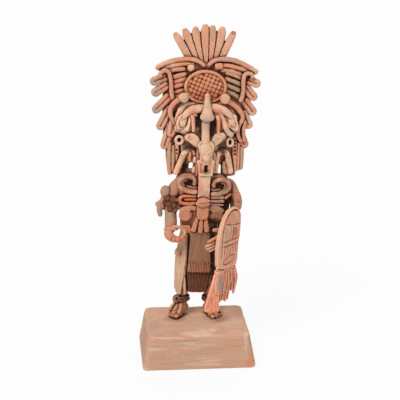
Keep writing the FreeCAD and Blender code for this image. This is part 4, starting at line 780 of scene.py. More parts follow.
class OBJECT_OT_skirt_and_apron(ClayOperator, bpy.types.Operator):
    """Pleated skirt, and the apron over it with its cut fringe"""
    bl_idname = "clay.skirt_and_apron"
    bl_label = "Skirt and apron"

    def execute(self, context):
        levels = [(27.4, -9.6, 10.2, 7.5), (34, -11.4, 12.2, 8.4), (50, -13.4, 14.4, 9), (70, -13, 13.6, 9),
                  (94, -12.4, 13, 8.6)]
        rings = []
        for z, left, right, half in levels:
            middle, width = (left + right) / 2, (right - left) / 2
            rings.append((z, [(middle + x, y) for x, y in rounded_box(width, -half, half, 5.5)]))
        skirt = Lump([stack(rings)], cell=EVEN_CELL, relax=2)
        for k in range(17):
            low, high = -9.4 + 19.4 * k / 16, -12.6 + 26.2 * k / 16
            for facing in (-1, 1):
                skirt.press([(low, 26), (high, 53), (high * 0.96, 60)], 0.85, 0.95, facing=(0, facing, 0))
        for k in range(7):
            y = -6.3 + 2.1 * k
            for facing in (-1, 1):
                skirt.press([(y * 0.85, 26), (y, 50)], 0.85, 0.9, facing=(facing, 0, 0), flat=PROFILE)
        ribs = []
        for k in range(14):
            share = k / 13
            low, high = -8.6 + 17.8 * share, -11.6 + 24 * share
            ribs.append([(high, -9.2, 60, 0.8), ((low + high) / 2, -9.1, 44, 0.85), (low, -7.9, 27.8, 0.75)])
        ribs = coils("skirt_ribs", ribs, "clay_skirt", seed=51)
        keep(merged("pleated_skirt", [skirt.roughen(0.18, 5, 3).piece("skirt"), ribs]), "clay_skirt",
             "underskirt")
        left = [(-9.3, 97), (-9.8, 88), (-10.7, 70), (-11.4, 52.6)]
        right = [(13.4, 52), (12.6, 70), (11, 88), (10.4, 97)]
        hem = [(x, 52.4 + (0.5 if k % 2 else -0.3)) for k, x in enumerate(np.linspace(-10.4, 12.6, 24))]
        cloth = Lump([slab(left + hem + right, -12.2, -8.4),
                      rod([(-9, -10, 95, 1.8), (1, -10.4, 96, 1.8), (10, -10, 95, 1.8)])], cell=FINE_CELL,
                     relax=3)
        threads = []
        for k in range(13):
            x = -9.5 + 21.2 * k / 12
            top = 65 + 1.6 * math.sin(k * 2.4)
            threads.append([(x * 0.97, -11.6, top, 0.5), (x * 0.98, -12.3, top - 3, 0.78),
                            (x, -12.4, 51.8, 0.8)])
        threads = coils("hem", threads, "clay_apron", seed=52)
        for line in ([(-2, 94), (-4, 82), (-7, 68)], [(3, 93), (4.6, 78), (6, 66)]):
            cloth.press(line, 2.4, 0.45)
        keep(merged("apron_cloth", [cloth.roughen(0.25, 7, 5).piece("cloth"), threads]), "clay_apron",
             "apron")
        return {"FINISHED"}


class OBJECT_OT_cloak(ClayOperator, bpy.types.Operator):
    """Cloak down the back, and its flap folded forward beside the skirt"""
    bl_idname = "clay.cloak"
    bl_label = "Cloak"

    def execute(self, context):
        outline = [(-22, 26), (-21.4, 60), (-20.6, 84), (-17.4, 96), (-18.4, 108), (-22, 135), (-24, 156),
                   (27, 156), (33, 146), (34, 128), (31, 108), (25, 92), (21.4, 60), (22, 25), (12, 24.4),
                   (3, 25.6), (-8, 24.2), (-15, 25.6)]
        hanging = Lump([slab(outline, 8.8, 12.8)], cell=BROAD_CELL, relax=3)
        for line, width, depth in (([(-13, 24), (-12, 70), (-8, 128)], 3.4, 1.3),
                                   ([(-3, 24), (-2.4, 60), (-2, 112)], 3, 1.1),
                                   ([(8, 24), (7, 66), (4.4, 122)], 3.4, 1.3),
                                   ([(16, 24), (14.6, 80), (13, 132)], 3, 1)):
            hanging.press(line, width, depth, facing=BACK)
        hanging.press([(-22, 146), (0, 142), (22, 146)], 1.4, 0.8, facing=BACK)
        hanging.roughen(0.35, 10, 2).keep("cloak_hanging", "clay_cloak", "cloak_back")
        side = [rod([(-14, -8.6, 95, 2.4), (-14.6, -9.4, 80, 3), (-15.4, -9.8, 62, 3.6),
                     (-17.6, -9.2, 42, 3.4), (-19, -8.2, 27.4, 2.6)], flat=0.62),
                rod([(-16.2, -4, 92, 2.2), (-19.3, -5, 78, 3.6), (-19.8, -5, 62, 3.8), (-20.4, -4, 44, 3.4),
                     (-20.6, -3, 28, 2.6)], flat=0.8),
                rod([(-16.2, 3, 91, 2.2), (-20.2, 3, 72, 3), (-21, 4, 50, 2.8), (-21, 5, 28, 2.2)]),
                rod([(-16.6, 8, 90, 2.2), (-20.8, 9, 62, 2.6), (-21.4, 9.4, 27, 2.2)]),
                ball((-22.6, -6, 72.5), (3, 3.4, 4.4)),
                rod([(-14.4, -9.6, 46, 1.3), (-13.4, -9.8, 36, 1.5), (-13.2, -9.4, 26.8, 1.3)]),
                slab([(-20.6, 27), (-21, 50), (-20.6, 74), (-16.6, 92), (-13.6, 94), (-16, 72), (-17.6, 50),
                      (-18.6, 27)], -8, 10)]
        flap = Lump(side, cell=0.65, relax=3)
        for line in ([(-15.2, 92), (-16.8, 66), (-18.4, 44), (-20, 28)],
                     [(-13.6, 58), (-15.6, 40), (-16.6, 27)]):
            flap.press(line, 1.5, 1.0)
        for line in ([(-5, 27), (-5, 60), (-3, 90)], [(0, 27), (1, 60), (0, 90)], [(6, 27), (5, 88)]):
            flap.press(line, 1.6, 0.9, facing=(-1, 0, 0), flat=PROFILE)
        flap.roughen(0.3, 6, 8).keep("cloak_fold", "clay_cloak", "cloak_flap")
        return {"FINISHED"}


class OBJECT_OT_belt_and_knot(ClayOperator, bpy.types.Operator):
    """Belt loops, knot with its tab and three tassels, and the hip scrolls"""
    bl_idname = "clay.belt_and_knot"
    bl_label = "Belt and knot"

    def execute(self, context):
        loop = at(-10.6, [(-4, 137.2), (-12, 137.3), (-19.6, 136.4), (-22.6, 132.9), (-19.6, 129.1),
                          (-11, 128.8), (-4, 129.6)], 1.9)
        bar = at(-10.4, [(-4, 133.4), (-11, 133.6), (-18.3, 133.1)], [1.5, 1.5, 1.1])
        right = [at(-10.6, [(9, 135.8), (17, 136.4), (24.9, 136.4)], [2, 2.2, 2.2]),
                 at(-10.2, [(9, 131.8), (17, 131.9), (25, 131.9)], [2.1, 2.2, 2.1]),
                 at(-10.4, [(9, 128), (17, 127.8), (24.4, 127.6)], [1.6, 1.5, 1.4]),
                 at([-10.6, -7.4], [(24.6, 134.6), (28.4, 137.6), (32.2, 140.3)], [2, 1.7, 1.5])]
        keep_coils("belt_bars", "clay_belt", [loop, bar] + right, "belt_loops", flat=0.85, seed=7)
        knot = Lump([ball((2, -15.8, 132.4), (6.8, 4.5, 4.6)),
                     rod(at(-17.2, [(-3.6, 131), (1, 134.2), (6.8, 133.8)], 2.4)),
                     rod(at(-17.2, [(-2.6, 129.8), (2, 129.2), (7, 130.8)], 2.1))], cell=FINE_CELL, relax=3)
        knot.press([(-5.5, 132.8), (0, 131.6), (8.6, 132.4)], 0.9, 0.9)
        knot.press([(-4.5, 136.4), (2, 137), (8, 135.6)], 0.8, 0.4)
        knot.roughen(0.25, 4, 4)
        tab = [slab([(-4.2, 130), (-4.3, 117), (-2.6, 113.4), (2, 112.4), (6.4, 113.5), (8.3, 117.5),
                     (8, 130)], -16.4, -11.6)]
        tab = Lump(tab, cell=FINE_CELL, relax=4)
        tab.press([(-3.6, 126.4), (2, 125.6), (8, 126.6)], 1, 0.6)
        tab.press([(2, 124), (2, 114)], 2.4, 0.3).roughen(0.2, 4, 6)
        ends = []
        for top, foot_end, lean in (((-3.2, 115), (-7.1, 99.6), 0.3), ((1.3, 115), (0.4, 98.4), 0),
                                    ((5.4, 115), (7.4, 99.4), -0.3)):
            middle = (np.array(top) + foot_end) / 2
            ends.append(rod(at(-13.6, [top, tuple(middle), foot_end], [1.5, 2.4, 2.9]), flat=0.7, dome=0.5))
        tails = Lump(ends, cell=FINE_CELL, relax=2)
        for top, foot_end in (((-3.2, 115), (-7.1, 99.6)), ((1.3, 115), (0.4, 98.4)),
                              ((5.4, 115), (7.4, 99.4))):
            tails.press([top, foot_end], 0.8, 0.55)
        tails.roughen(0.2, 4, 7)
        keep(merged("knot_and_tassels", [knot.piece("k"), tab.piece("t"), tails.piece("e")]), "clay_belt",
             "belt_knot", "knot_tab", "knot_tassels")
        solids = []
        for x, z, way, start in ((-15.8, 115.8, 1, 60), (16.9, 115, -1, 120)):
            solids.append(ball((x, -9.6, z), (7.2, 2.4, 7.2)))
            turns = []
            for k in range(34):
                turn = math.radians(start + way * 17 * k)
                reach = 6.6 * (1 - k / 44) ** 1.25
                turns.append((x + reach * math.cos(turn), -11.2, z + reach * math.sin(turn),
                              2.1 - 0.7 * k / 33))
            solids.append(rod(turns, flat=0.8))
        solids.append(rod(at(-10.6, [(-20.6, 121.6), (-13, 124.4), (-4.6, 123.6)], [2.2, 3, 3]), flat=0.8))
        solids.append(rod(at(-10.6, [(8, 123.4), (16, 124.6), (23.4, 121.4)], [3, 2.8, 2]), flat=0.8))
        solids.append(slab([(-19, 104.6), (-9.6, 104.2), (-9.2, 96.4), (-14, 95.6), (-18.8, 97.4)], -11, -6))
        scrolls = Lump(solids, cell=FINE_CELL, relax=2)
        scrolls.roughen(0.22, 5, 9).keep("hip_volutes", "clay_belt", "hip_scrolls")
        return {"FINISHED"}


class OBJECT_OT_collar(ClayOperator, bpy.types.Operator):
    """Collar: a scroll of coils on each side of the tongue strip"""
    bl_idname = "clay.collar"
    bl_label = "Collar scrolls"

    def execute(self, context):
        outer = [at(-11.4, [(-3.7, 142.4), (-9, 142.4), (-15.6, 143.6), (-22.6, 147.4), (-23.8, 152.4),
                            (-20, 156.8), (-14.6, 158.6), (-8.6, 156.4), (-7.4, 152), (-8.8, 148.8)],
                    [3, 2.9, 2.7, 2.5, 2.3, 2.1, 2]),
                 at(-11.4, [(9.4, 140.4), (14, 140), (20.2, 140.8), (27.4, 145), (29, 150), (26, 154.2),
                            (20.6, 156), (14.6, 153.8), (12.6, 149.8), (13.8, 146.6)],
                    [3, 2.9, 2.7, 2.5, 2.3, 2.1, 2])]
        inner = [at(-10.4, [(-17.6, 147.4), (-20.2, 150), (-19.2, 153.6), (-14.6, 155.4)], [1.4, 1.5, 1.2]),
                 at(-10.4, [(23, 144.8), (25.6, 147.4), (24.6, 151), (20.4, 152.8)], [1.4, 1.5, 1.2]),
                 at(-10, [(-4, 147), (-9.6, 146.4), (-16, 147.6)], [1.8, 1.8, 1.4]),
                 at(-10, [(9.6, 144.6), (15, 143.9), (21, 144.8)], [1.8, 1.8, 1.4])]
        keep_coils("collar_volutes", "clay_pink", outer + inner, "collar_scrolls", seed=11)
        return {"FINISHED"}


class OBJECT_OT_right_arm(ClayOperator, bpy.types.Operator):
    """Right arm with its beaded armband, shoulder pad and hanging drop, and the hand made for a staff"""
    bl_idname = "clay.right_arm"
    bl_label = "Right arm and hand"

    def execute(self, context):
        arm = [rod([(-22, 1, 148, 7), (-28, 0, 140, 7.6), (-31, -1, 128, 6.4), (-31.2, -6, 118, 6.3),
                    (-31, -12, 108, 6.6), (-31.4, -15, 103, 6.2)])]
        limb = Lump(arm, relax=3).roughen(0.3, 8, 3)
        cuff = coils("cuff",
                     [at([-16.5, -20.4, -21.4, -20.4, -17],
                         [(-38.4, 101.9), (-35, 103.6), (-31.2, 104.2), (-27.2, 103.8), (-24, 102.4)],
                         [1.6, 2, 2.1, 2, 1.6])], "clay_body", seed=2)
        band = coils("band",
                     [at([-5, -10.6, -11.8, -10.6, -6],
                         [(-37.6, 119.6), (-34, 118.6), (-31, 118.4), (-27.6, 118.8), (-24.8, 120)],
                         [0.9, 1.1, 1.1, 1.1, 0.9])], "clay_body", seed=3)
        keep(merged("right_arm", [limb.piece("limb"), cuff, band]), "clay_body", "arm_right")
        spots = [(-35.4, -7, 133), (-29.6, -8.4, 132), (-33.8, -9.6, 127.6), (-28.5, -9.4, 126.6),
                 (-24.6, -8, 124.8), (-32.3, -9.8, 122.6), (-27.4, -9.2, 121.6), (-37.4, -4, 127.6),
                 (-36.6, -2, 122.4), (-24.4, -7, 130.4), (-38, 0, 132), (-36, 4.6, 127), (-31, 6.6, 127),
                 (-26, 6.4, 127)]
        roll = coils("roll",
                     [at([-8, -10.2, -9.4], [(-33, 133.6), (-28, 132.8), (-22.6, 131.8)], [1.7, 2, 1.8])],
                     "clay_dark", seed=6)
        string = merged("armband_beads", [beads("beads", spots, 3.6, "clay_dark", seed=5), roll])
        keep(string, "clay_dark", "armband_right")
        pad = [ball((-37.6, -3.4, 139.8), (5.4, 6, 6.4), 12), ball((-37, -3, 133.6), (3.4, 3.6, 4.4)),
               rod([(-42.8, -3, 128.4, 1.9), (-43.1, -3.2, 121, 3), (-42.2, -3.2, 114, 2.7)]),
               ball((-45.4, -2.6, 125.4), (2.4, 2.6, 3)), ball((-40.8, -3.2, 129), (2.4, 2.6, 2.8)),
               rod([(-39.6, -3, 132.6, 2.6), (-39.6, -3, 122, 2.5)])]
        pad = Lump(pad, cell=0.55, relax=3)
        pad.roughen(0.25, 5, 6).keep("shoulder_drop", "clay_body", "shoulder_pad_right")
        ring = [rod(at(-19.6, [(-33, 103), (-33.6, 98.4), (-30.8, 94), (-26, 91.9), (-21.4, 92.3),
                               (-17.8, 95.4), (-16.4, 99.8)], [3.6, 5, 4.8, 3.8, 3.3, 2.3, 1.6]), flat=1.1),
                rod(at(-19.4, [(-33, 103), (-28.6, 105.2), (-22.8, 105.2), (-18.6, 103), (-16.4, 100)],
                       [3.2, 2.2, 1.8, 1.6, 1.5]), flat=1.2)]
        hand = Lump(ring, cell=FINE_CELL, relax=2)
        for line in ([(-29, 97), (-33, 89)], [(-25.6, 96), (-27, 86)], [(-21.6, 96.6), (-20.4, 88)],
                     [(-18.6, 98), (-14.5, 91)]):
            hand.press(line, 0.8, 0.8)
            hand.press(line, 0.8, 0.7, facing=UNDER)
        hand.press([(-27, 105), (-20, 103.6), (-15.6, 100)], 0.7, 0.5)
        hand.roughen(0.2, 4, 5).keep("hand_with_ring", "clay_pink", "hand_right")
        return {"FINISHED"}


class OBJECT_OT_left_arm(ClayOperator, bpy.types.Operator):
    """Left arm behind the shield, and the fingers on the shield's edge"""
    bl_idname = "clay.left_arm"
    bl_label = "Left arm and fingers"

    def execute(self, context):
        arm = [rod([(24, 0, 148.4, 7), (30, 0, 146, 7.4), (35.6, -1, 138, 6.2), (37.2, -2.4, 128, 5.4),
                    (37, -4.6, 116, 5.3), (33, -9.6, 105, 5.4), (27, -15.6, 96.6, 5)]),
               rod([(35.4, -3.6, 144.6, 2.5), (39.6, -3.4, 137.2, 3), (42, -3.2, 129.4, 2.8),
                    (42.2, -3, 122.6, 2.2)])]
        limb = Lump(arm, relax=3)
        limb.press([(33, 132), (37, 129.6), (42, 130)], 1, 0.9)
        limb.press([(31, 140), (36, 141), (41, 139)], 1, 0.8)
        limb.roughen(0.28, 7, 4).keep("left_arm", "clay_body", "arm_left")
        fingers = ([(24, 99.6), (16.6, 95.6), (7, 90.6)], [(24, 96), (15.4, 90.8), (4.8, 85.6)],
                   [(24, 92.4), (15.6, 87.4), (6.2, 82.8)], [(24, 89.4), (16.4, 84.6), (8.8, 80.8)])
        lines = [at([-17, -24.6, -25.6], pairs, [2.1, 1.95, 1.6]) for pairs in fingers]
        lines.append([(23, -19, 101, 2.6), (17, -21.6, 103.2, 2.2), (12.3, -23, 103.4, 1.9)])
        keep_coils("left_fingers", "clay_body", lines, "hand_left", seed=13, even=0.7)
        return {"FINISHED"}


SHIELD_EDGE = [(10.9, 28.7), (7.6, 31.6), (3.4, 32.6), (-2.4, 31.6), (-7.1, 29.2), (-10.4, 25.2),
               (-12.9, 20.8), (-16.7, 10.8), (-18.6, 0.1), (-19.2, -10.7), (-18.4, -21), (-16.8, -30.2),
               (-8, -31.6), (2, -32), (10.5, -31.2), (13.9, -29.6), (14.3, -20), (14.1, -10), (15, 6),
               (14.5, 18.6), (13.2, 24.4)]


class OBJECT_OT_shield(ClayOperator, bpy.types.Operator):
    """Shield: a board with a raised rim and relief, its binding, fringe and bright side tassels"""
    bl_idname = "clay.shield"
    bl_label = "Shield"

    def execute(self, context):
        board = Lump([slab(SHIELD_EDGE, -3.5, 1.2)], cell=FINE_CELL, relax=3)
        rim_line = [(6.6, 29.2), (2.4, 29.9), (-2, 28.9), (-5.6, 26.2), (-9.9, 19.6), (-12.1, 10),
                    (-12.6, -0.8), (-12.2, -10), (-11.6, -20)]
        board.press(rim_line, 1.4, 1.7)
        board.press(closed_oval((2.4, 22.4), (9.4, 7.6), 30, -8), 0.9, 0.8)
        board.press(closed_oval((2.6, 22.6), (4.6, 3.6), 20, -8), 0.6, 0.3)
        for line, width, depth in (([(-8.4, 15.6), (-3, 14), (2, 13.2), (8, 13.2), (13, 14)], 0.9, 1.1),
                                   ([(0.3, 11.8), (0, 5), (-0.4, -2)], 0.8, 0.9),
                                   ([(4, 11.8), (3.9, 5), (3.6, -2)], 1.0, 1.3),
                                   ([(8.2, 11.8), (8.3, 5), (8.2, -1.6)], 0.9, 1.0),
                                   ([(11.6, 11), (11.8, 5), (12, -0.6)], 0.7, 0.7),
                                   ([(-10.6, -5), (-4, -3.6), (2, -3), (8, -2.4), (14.2, -1.8)], 0.9, 1.0),
                                   ([(-11, -9), (-4, -9), (1, -8.6), (8, -7.6), (13.6, -6.6)], 0.9, 1.0),
                                   ([(-7.2, -9.6), (-7.5, -17.4)], 0.9, 1.1),
                                   ([(-3, -9.6), (-2.8, -17)], 0.9, 1.1),
                                   ([(1.1, -9.2), (1.6, -16.4)], 0.9, 1.1),
                                   ([(5.2, -9), (6, -15.6)], 0.9, 1.1),
                                   ([(9.3, -8.4), (10.2, -14.8)], 0.9, 1.0)):
            board.press(line, width * 1.2, depth * 1.25)
        board.press(closed_oval((1.1, -24.6), (9.2, 3.9), 30, 21), 0.9, 1.1)
        board.press([(-10, -18), (-4, -19), (2, -18), (12, -14)], 0.8, 0.5)
        for pair in ((-5, 8), (-6.4, 3.4), (-7, -1.2), (-3.6, 11)):
            board.prick(pair, 1.4, -0.5)
        keep(board.roughen(0.22, 6, 3).piece("shield_disc", SHIELD), "clay_shield", "shield_board",
             "shield_rim", "shield_relief")
        cords = [at(-2.4, [(-17.6, -30), (-9.4, -32.2), (1.7, -32.6), (11, -30.6), (14, -29)], 1.7),
                 at(-2, [(-17, -33.4), (-9, -35), (1.7, -35.4), (10.6, -33.8), (13.6, -32)], 1.4)]
        keep_coils("shield_cord", "clay_shield", cords, "shield_binding", place=SHIELD, seed=9)
        strands = []
        for k in range(15):
            u = -15.6 + 28.6 * k / 14
            wave = math.sin(k * 2.1) * 1.2
            low = -76 + 8 * abs(math.sin(k * 1.7)) + max(0, u - 4) * 1.3 + (9 if u < -13 else 0)
            start = -34.4 + 0.5 * math.sin(k)
            out = 1.02 + 0.035 * max(0, u - 2)
            strands.append([(u, -1.2, start, 1.5),
                            (u * out + wave * 0.3, -1.8 - 0.4 * math.sin(k * 3), -47, 1.7),
                            (u * out + wave, -1.5 - 0.6 * math.cos(k * 2), -58, 1.65),
                            (u * out + wave * 1.3, -1.0, low, 1.1)])
            strands.append([(u + 1, 0.9, start, 1.4), (u * out + 1.2, 0.8, -50, 1.7),
                            (u * out + 1.6, 0.8, low * 0.92, 1.2)])
        threads = coils("threads", strands, "clay_shield", SHIELD, seed=15)
        strip = Lump([slab([(-15.8, -35), (-16.6, -50), (-16.4, -61), (-6.8, -61.6), (-6.2, -48),
                            (-6.6, -35)], -4.2, -1.6)], cell=FINE_CELL, relax=3).roughen(0.25, 6, 4)
        strip.press([(-16.4, -58.4), (-6.6, -59)], 0.8, 0.6)
        keep(merged("shield_tassels", [threads, strip.piece("strip", SHIELD)]), "clay_shield",
             "shield_fringe")
        sweeps = []
        for k in range(8):
            share = k / 7
            top = np.array((19.2 - 2.8 * share, -33 - 1.2 * share, 59.4 - 0.8 * share))
            foot_end = np.array((20.6 - 13.2 * share, -34 - 1.6 * share, 15.4 + 0.8 * math.sin(k * 2)))
            middle = (top + foot_end) / 2 + np.array((-0.6 * share, -0.6, 0))
            low = middle * 0.4 + foot_end * 0.6 + np.array((-0.5 * share, 0, 0))
            sweeps.append([(*top, 1.2), (*middle, 1.5), (*low, 1.6), (*foot_end, 1.4)])
        keep_coils("side_sweep", "clay_salmon", sweeps, "shield_sweep", seed=17)
        return {"FINISHED"}


class OBJECT_OT_headdress(ClayOperator, bpy.types.Operator):
    """Headdress: the back slab, the crest, and the coils that stand for feathers"""
    bl_idname = "clay.headdress"
    bl_label = "Headdress"

    def execute(self, context):
        head = [(-37.4, 176), (-41.6, 200), (-43, 225), (-43.4, 250), (-43, 266), (-38, 274.4), (-28, 279.4),
                (-18, 280.8), (-8, 278.6), (0, 273), (8, 278.6), (18, 280.8), (29, 279.6), (39, 275),
                (46, 267), (46, 250), (45.6, 225), (42.6, 200), (40.6, 176)]
        solids = [slab(head, 2, 9), slab([(-38.4, 178), (-35.6, 158), (-13.4, 154), (-13.2, 178)], 2, 9),
                  slab([(-13.6, 178), (-13.6, 169.6), (-8.4, 171), (-8.4, 178)], 2, 9),
                  slab([(-13.6, 162), (-13.6, 154), (-8.4, 154), (-8.4, 162.6)], 2, 9),
                  slab([(-8.6, 178), (-8.6, 154), (17.2, 154), (17.2, 178)], 2, 9),
                  slab([(17, 178), (17, 168.4), (21.6, 168.4), (21.6, 178)], 2, 9),
                  slab([(21.2, 178), (21.2, 154), (36, 157), (40.6, 178)], 2, 9),
                  slab([(43, 254), (50, 256.6), (49.6, 266.6), (43, 270)], 1, 6)]
        back = Lump(solids, cell=BROAD_CELL, relax=3)
        for k in range(9):
            for way in (-1, 1):
                start = np.array((way * 12, 205 + k * 7.0))
                end = start + np.array((way * 30, 9.0 - k * 0.4))
                back.press([tuple(start), tuple(end)], 1.3, 0.6, facing=BACK)
        back.roughen(0.4, 9, 2).keep("head_slab", "clay_body", "headdress_slab")
        fan = [[(-33.3, 308.4), (-27.2, 299), (-17.5, 283.6), (-8.5, 265)],
               [(-23.5, 312.6), (-17.4, 300.3), (-9.6, 283), (-5, 264)],
               [(-12.1, 315), (-9.6, 298.8), (-3.8, 279.1), (-2.4, 263)],
               [(-1.6, 317.4), (-0.7, 298.1), (0.9, 275.3), (0.4, 262)],
               [(5.9, 316.9), (6.2, 298.3), (5.4, 278), (3, 262)],
               [(16.6, 315.2), (13.7, 299.3), (9.6, 281.6), (5.6, 264)],
               [(28.8, 311.3), (23, 297.8), (16, 282.7), (8.5, 265)]]
        quills = []
        for pairs, wide in zip(fan, (4, 4.5, 4.4, 5, 4.4, 4.9, 4)):
            tip, neck = np.array(pairs[0], float), np.array(pairs[1], float)
            along = (neck - tip) / np.linalg.norm(neck - tip)
            places = [tip + along * 2.2, tip + along * 6, neck, pairs[2], pairs[3]]
            radii = (wide * 0.72, wide * 0.98, wide * 1.04, 4.5, 3)
            rows = [(x, 5.4, z, r) for (x, z), r in zip(places, radii)]
            quills.append(rod(rows, flat=0.6, sides=16, dome=0.8))
        feathers = Lump(quills, cell=0.42, relax=1)
        for first, second in zip(fan[:-1], fan[1:]):
            seam = [tuple((np.array(a) + b) / 2) for a, b in zip(first, second)]
            for facing in (-1, 1):
                feathers.press(seam, 0.8, 0.9, facing=(0, facing, 0))
        for pairs in fan:
            inner = [tuple(np.array(pairs[0]) * 0.8 + np.array(pairs[1]) * 0.2), pairs[1], pairs[2]]
            feathers.press(inner, 1.3, 0.35)
        feathers.roughen(0.2, 5, 4).keep("crest_fan", "clay_crest", "crest_feathers")
        left = [at(-0.4, [(-0.4, 274.4), (-4, 277.4), (-8.6, 280), (-17.8, 282), (-29.8, 280.9),
                          (-41.8, 277.1), (-52, 270.6)], [2.1, 2.3, 2.4, 2.6, 2.7, 2.7, 2.9]),
                at(-0.2, [(-11.5, 276), (-20.2, 277.2), (-30.5, 275.8), (-39.9, 272.8), (-48, 268)],
                   [2.3, 2.6, 2.7, 2.7, 2.6]),
                at(-0.2, [(-20, 271.8), (-29.5, 271.2), (-38.1, 269), (-43.6, 266)], [2.4, 2.7, 2.6, 2.2])]
        right = [at(-0.4, [(2, 274.4), (4.6, 277.6), (8.2, 280.4), (15.1, 282.4), (26.4, 282.2),
                           (38.8, 278.1), (55, 268.6)], [2.1, 2.3, 2.5, 2.6, 2.7, 2.7, 3]),
                 at(-0.2, [(12.8, 275.7), (22.4, 276.2), (32.9, 274.4), (43.5, 270.3), (51.2, 265.6)],
                    [2.3, 2.6, 2.7, 2.7, 2.6]),
                 at(-0.2, [(14.8, 271.4), (23.5, 270.9), (33.2, 268.5), (39.8, 265.6)],
                    [2.5, 2.8, 2.7, 2.4])]
        keep_coils("top_coils_of_right_side", "clay_feathers", left, "top_coils_right", seed=21)
        keep_coils("top_coils_of_left_side", "clay_feathers", right, "top_coils_left", seed=22)
        loops = [((-54.8, 256.7), (-39, 264.2), 0), ((-53, 244.9), (-37.4, 255.4), 0),
                 ((-51.4, 226.5), (-35.4, 243.6), 0), ((-45.8, 208.2), (-34.4, 231.6), 0),
                 ((-40.2, 187.4), (-33, 214.6), 0), ((-33.8, 201.2), (-30.4, 221), -2.4),
                 ((55.8, 256.9), (44.3, 261.6), 0), ((52.6, 242), (41.2, 254.6), 0),
                 ((52.4, 226), (40.8, 241), 0), ((48.4, 211.4), (40.4, 228), 0),
                 ((44.8, 190.2), (38, 207.6), 0)]
        pins = [hairpin(tip, inner, 2.6, 2.3, depth) for tip, inner, depth in loops]
        keep_coils("feather_hairpins", "clay_feathers", pins, "feather_loops_left", "feather_loops_right",
                   seed=23)
        rows = [[(-35, 262), (-28, 264.2), (-19, 266.8)], [(-35, 256.6), (-28, 259), (-18.4, 261.8)],
                [(-35, 251.6), (-28, 253.8), (-18.4, 256.4)], [(-34, 246.2), (-27, 248), (-18, 250.8)],
                [(-32, 241.6), (-25, 243.4), (-17, 245.4)], [(20, 269), (29, 266.8), (38.6, 262.8)],
                [(20, 262.6), (30, 259.4), (38.8, 255.8)], [(20.4, 256), (30, 252.6), (38.6, 249.2)],
                [(20.4, 250.4), (29.4, 246.4), (37.4, 241.6)]]
        bars = [at(-0.3, pairs, [2.6, 2.75, 2.6]) for pairs in rows]
        keep_coils("inner_rows", "clay_feathers", bars, "inner_feathers", seed=24)
        strips = [at(-4.2, [(-46.1, 262.4), (-47.3, 266.6), (-43.3, 270.2), (-38.9, 268.9), (-36.6, 263.2),
                            (-35.4, 255.2), (-34.6, 246.4), (-32.8, 239)], [2.1, 2.2, 2.2, 2.3, 2.5]),
                  at(-4.2, [(48.3, 263), (48.5, 267.4), (44, 269.2), (40.2, 266.6), (39.5, 259.6),
                            (39.9, 250.7), (39, 243.6), (36.8, 238)], [2.1, 2.2, 2.2, 2.3, 2.5])]
        keep_coils("frame_coils", "clay_feathers", strips, "frame_strips", seed=25)
        tails = [at([-9, -6, -4.6, -4.6],
                    [(-24, 243), (-30.6, 238), (-35.2, 230.6), (-35, 223), (-31.6, 217), (-30, 212.6)],
                    [2.4, 2.7, 2.6, 2.4, 2.2]),
                 at([-9, -6, -4.6, -4.6, -3],
                    [(22.6, 241), (28, 237.4), (34.6, 232.2), (39.4, 226), (40.4, 220.4), (37.3, 214.6),
                     (36, 207.6), (38, 200), (41.4, 195)], [2.6, 2.8, 2.6, 2.4, 2.2, 2.1]),
                 at(-3.4, [(43.6, 219), (42.6, 210), (42.8, 201), (44, 195)], [1.9, 2.1, 2, 1.9])]
        keep_coils("brow_ribbons", "clay_feathers", tails, "brow_tails", seed=26)
        knobs = Lump([ball((-15.5, -3, 273.4), (3.9, 3, 3.7)),
                      rod(at(-2.6, [(10.4, 275.2), (16.6, 275.8)], 3.4), flat=0.8, dome=0.3),
                      ball((13.5, -2.6, 275.6), (4.2, 2.9, 3.5))], cell=FINE_CELL, relax=2)
        knobs.roughen(0.22, 4, 5).keep("top_buttons", "clay_mask", "top_knobs")
        return {"FINISHED"}


class OBJECT_OT_plaque(ClayOperator, bpy.types.Operator):
    """Oval plaque with its tilted lattice and rim"""
    bl_idname = "clay.plaque"
    bl_label = "Lattice plaque"

    def execute(self, context):
        disc = Lump([slab(oval((0.2, 254), (21.2, 17), 48), -4.4, 2),
                     ball((0.2, -3.4, 254), (19.4, 2.6, 15.4))], relax=3)
        disc.roughen(0.15, 6, 2)
        holder = show("pads", plain_mesh("pads", np.zeros((1, 3)), []))
        pads = run_tree(holder, "lattice pads",
                        {"Half Width": 0.0196, "Half Height": 0.0154, "Pitch": 0.00435, "Tilt": -0.36,
                         "Pad": 0.0041, "Seed": 4, "Finish": finishes["clay_plaque"]})
        spots = moved(spots_of(pads.data), Matrix.Rotation(math.radians(90), 4, "X"))
        flat = spots / MM
        dome = 2.2 * np.sqrt(np.clip(1 - (flat[:, 0] / 21) ** 2 - (flat[:, 2] / 17) ** 2, 0, 1))
        flat[:, 1] -= 4.3 + dome * 0.75
        flat[:, 1] += noise_at(flat, 2.2, 5) * 0.25
        flat[:, 0] += 0.2 + noise_at(flat, 2.6, 7) * 0.3
        flat[:, 2] += 254 + noise_at(flat, 2.4, 8) * 0.3
        set_spots(pads.data, moved(flat * MM, FIGURE))
        keep(merged("lattice_plaque", [disc.piece("disc"), pads]), "clay_plaque", "plaque")
        ring = [(x, -6.2, z, 1.6) for x, z in oval((0.2, 254), (20.7, 16.5), 44)]
        keep_coils("plaque_ring", "clay_plaque", [ring], "plaque_rim", closed=True, seed=31, even=0.6)
        return {"FINISHED"}


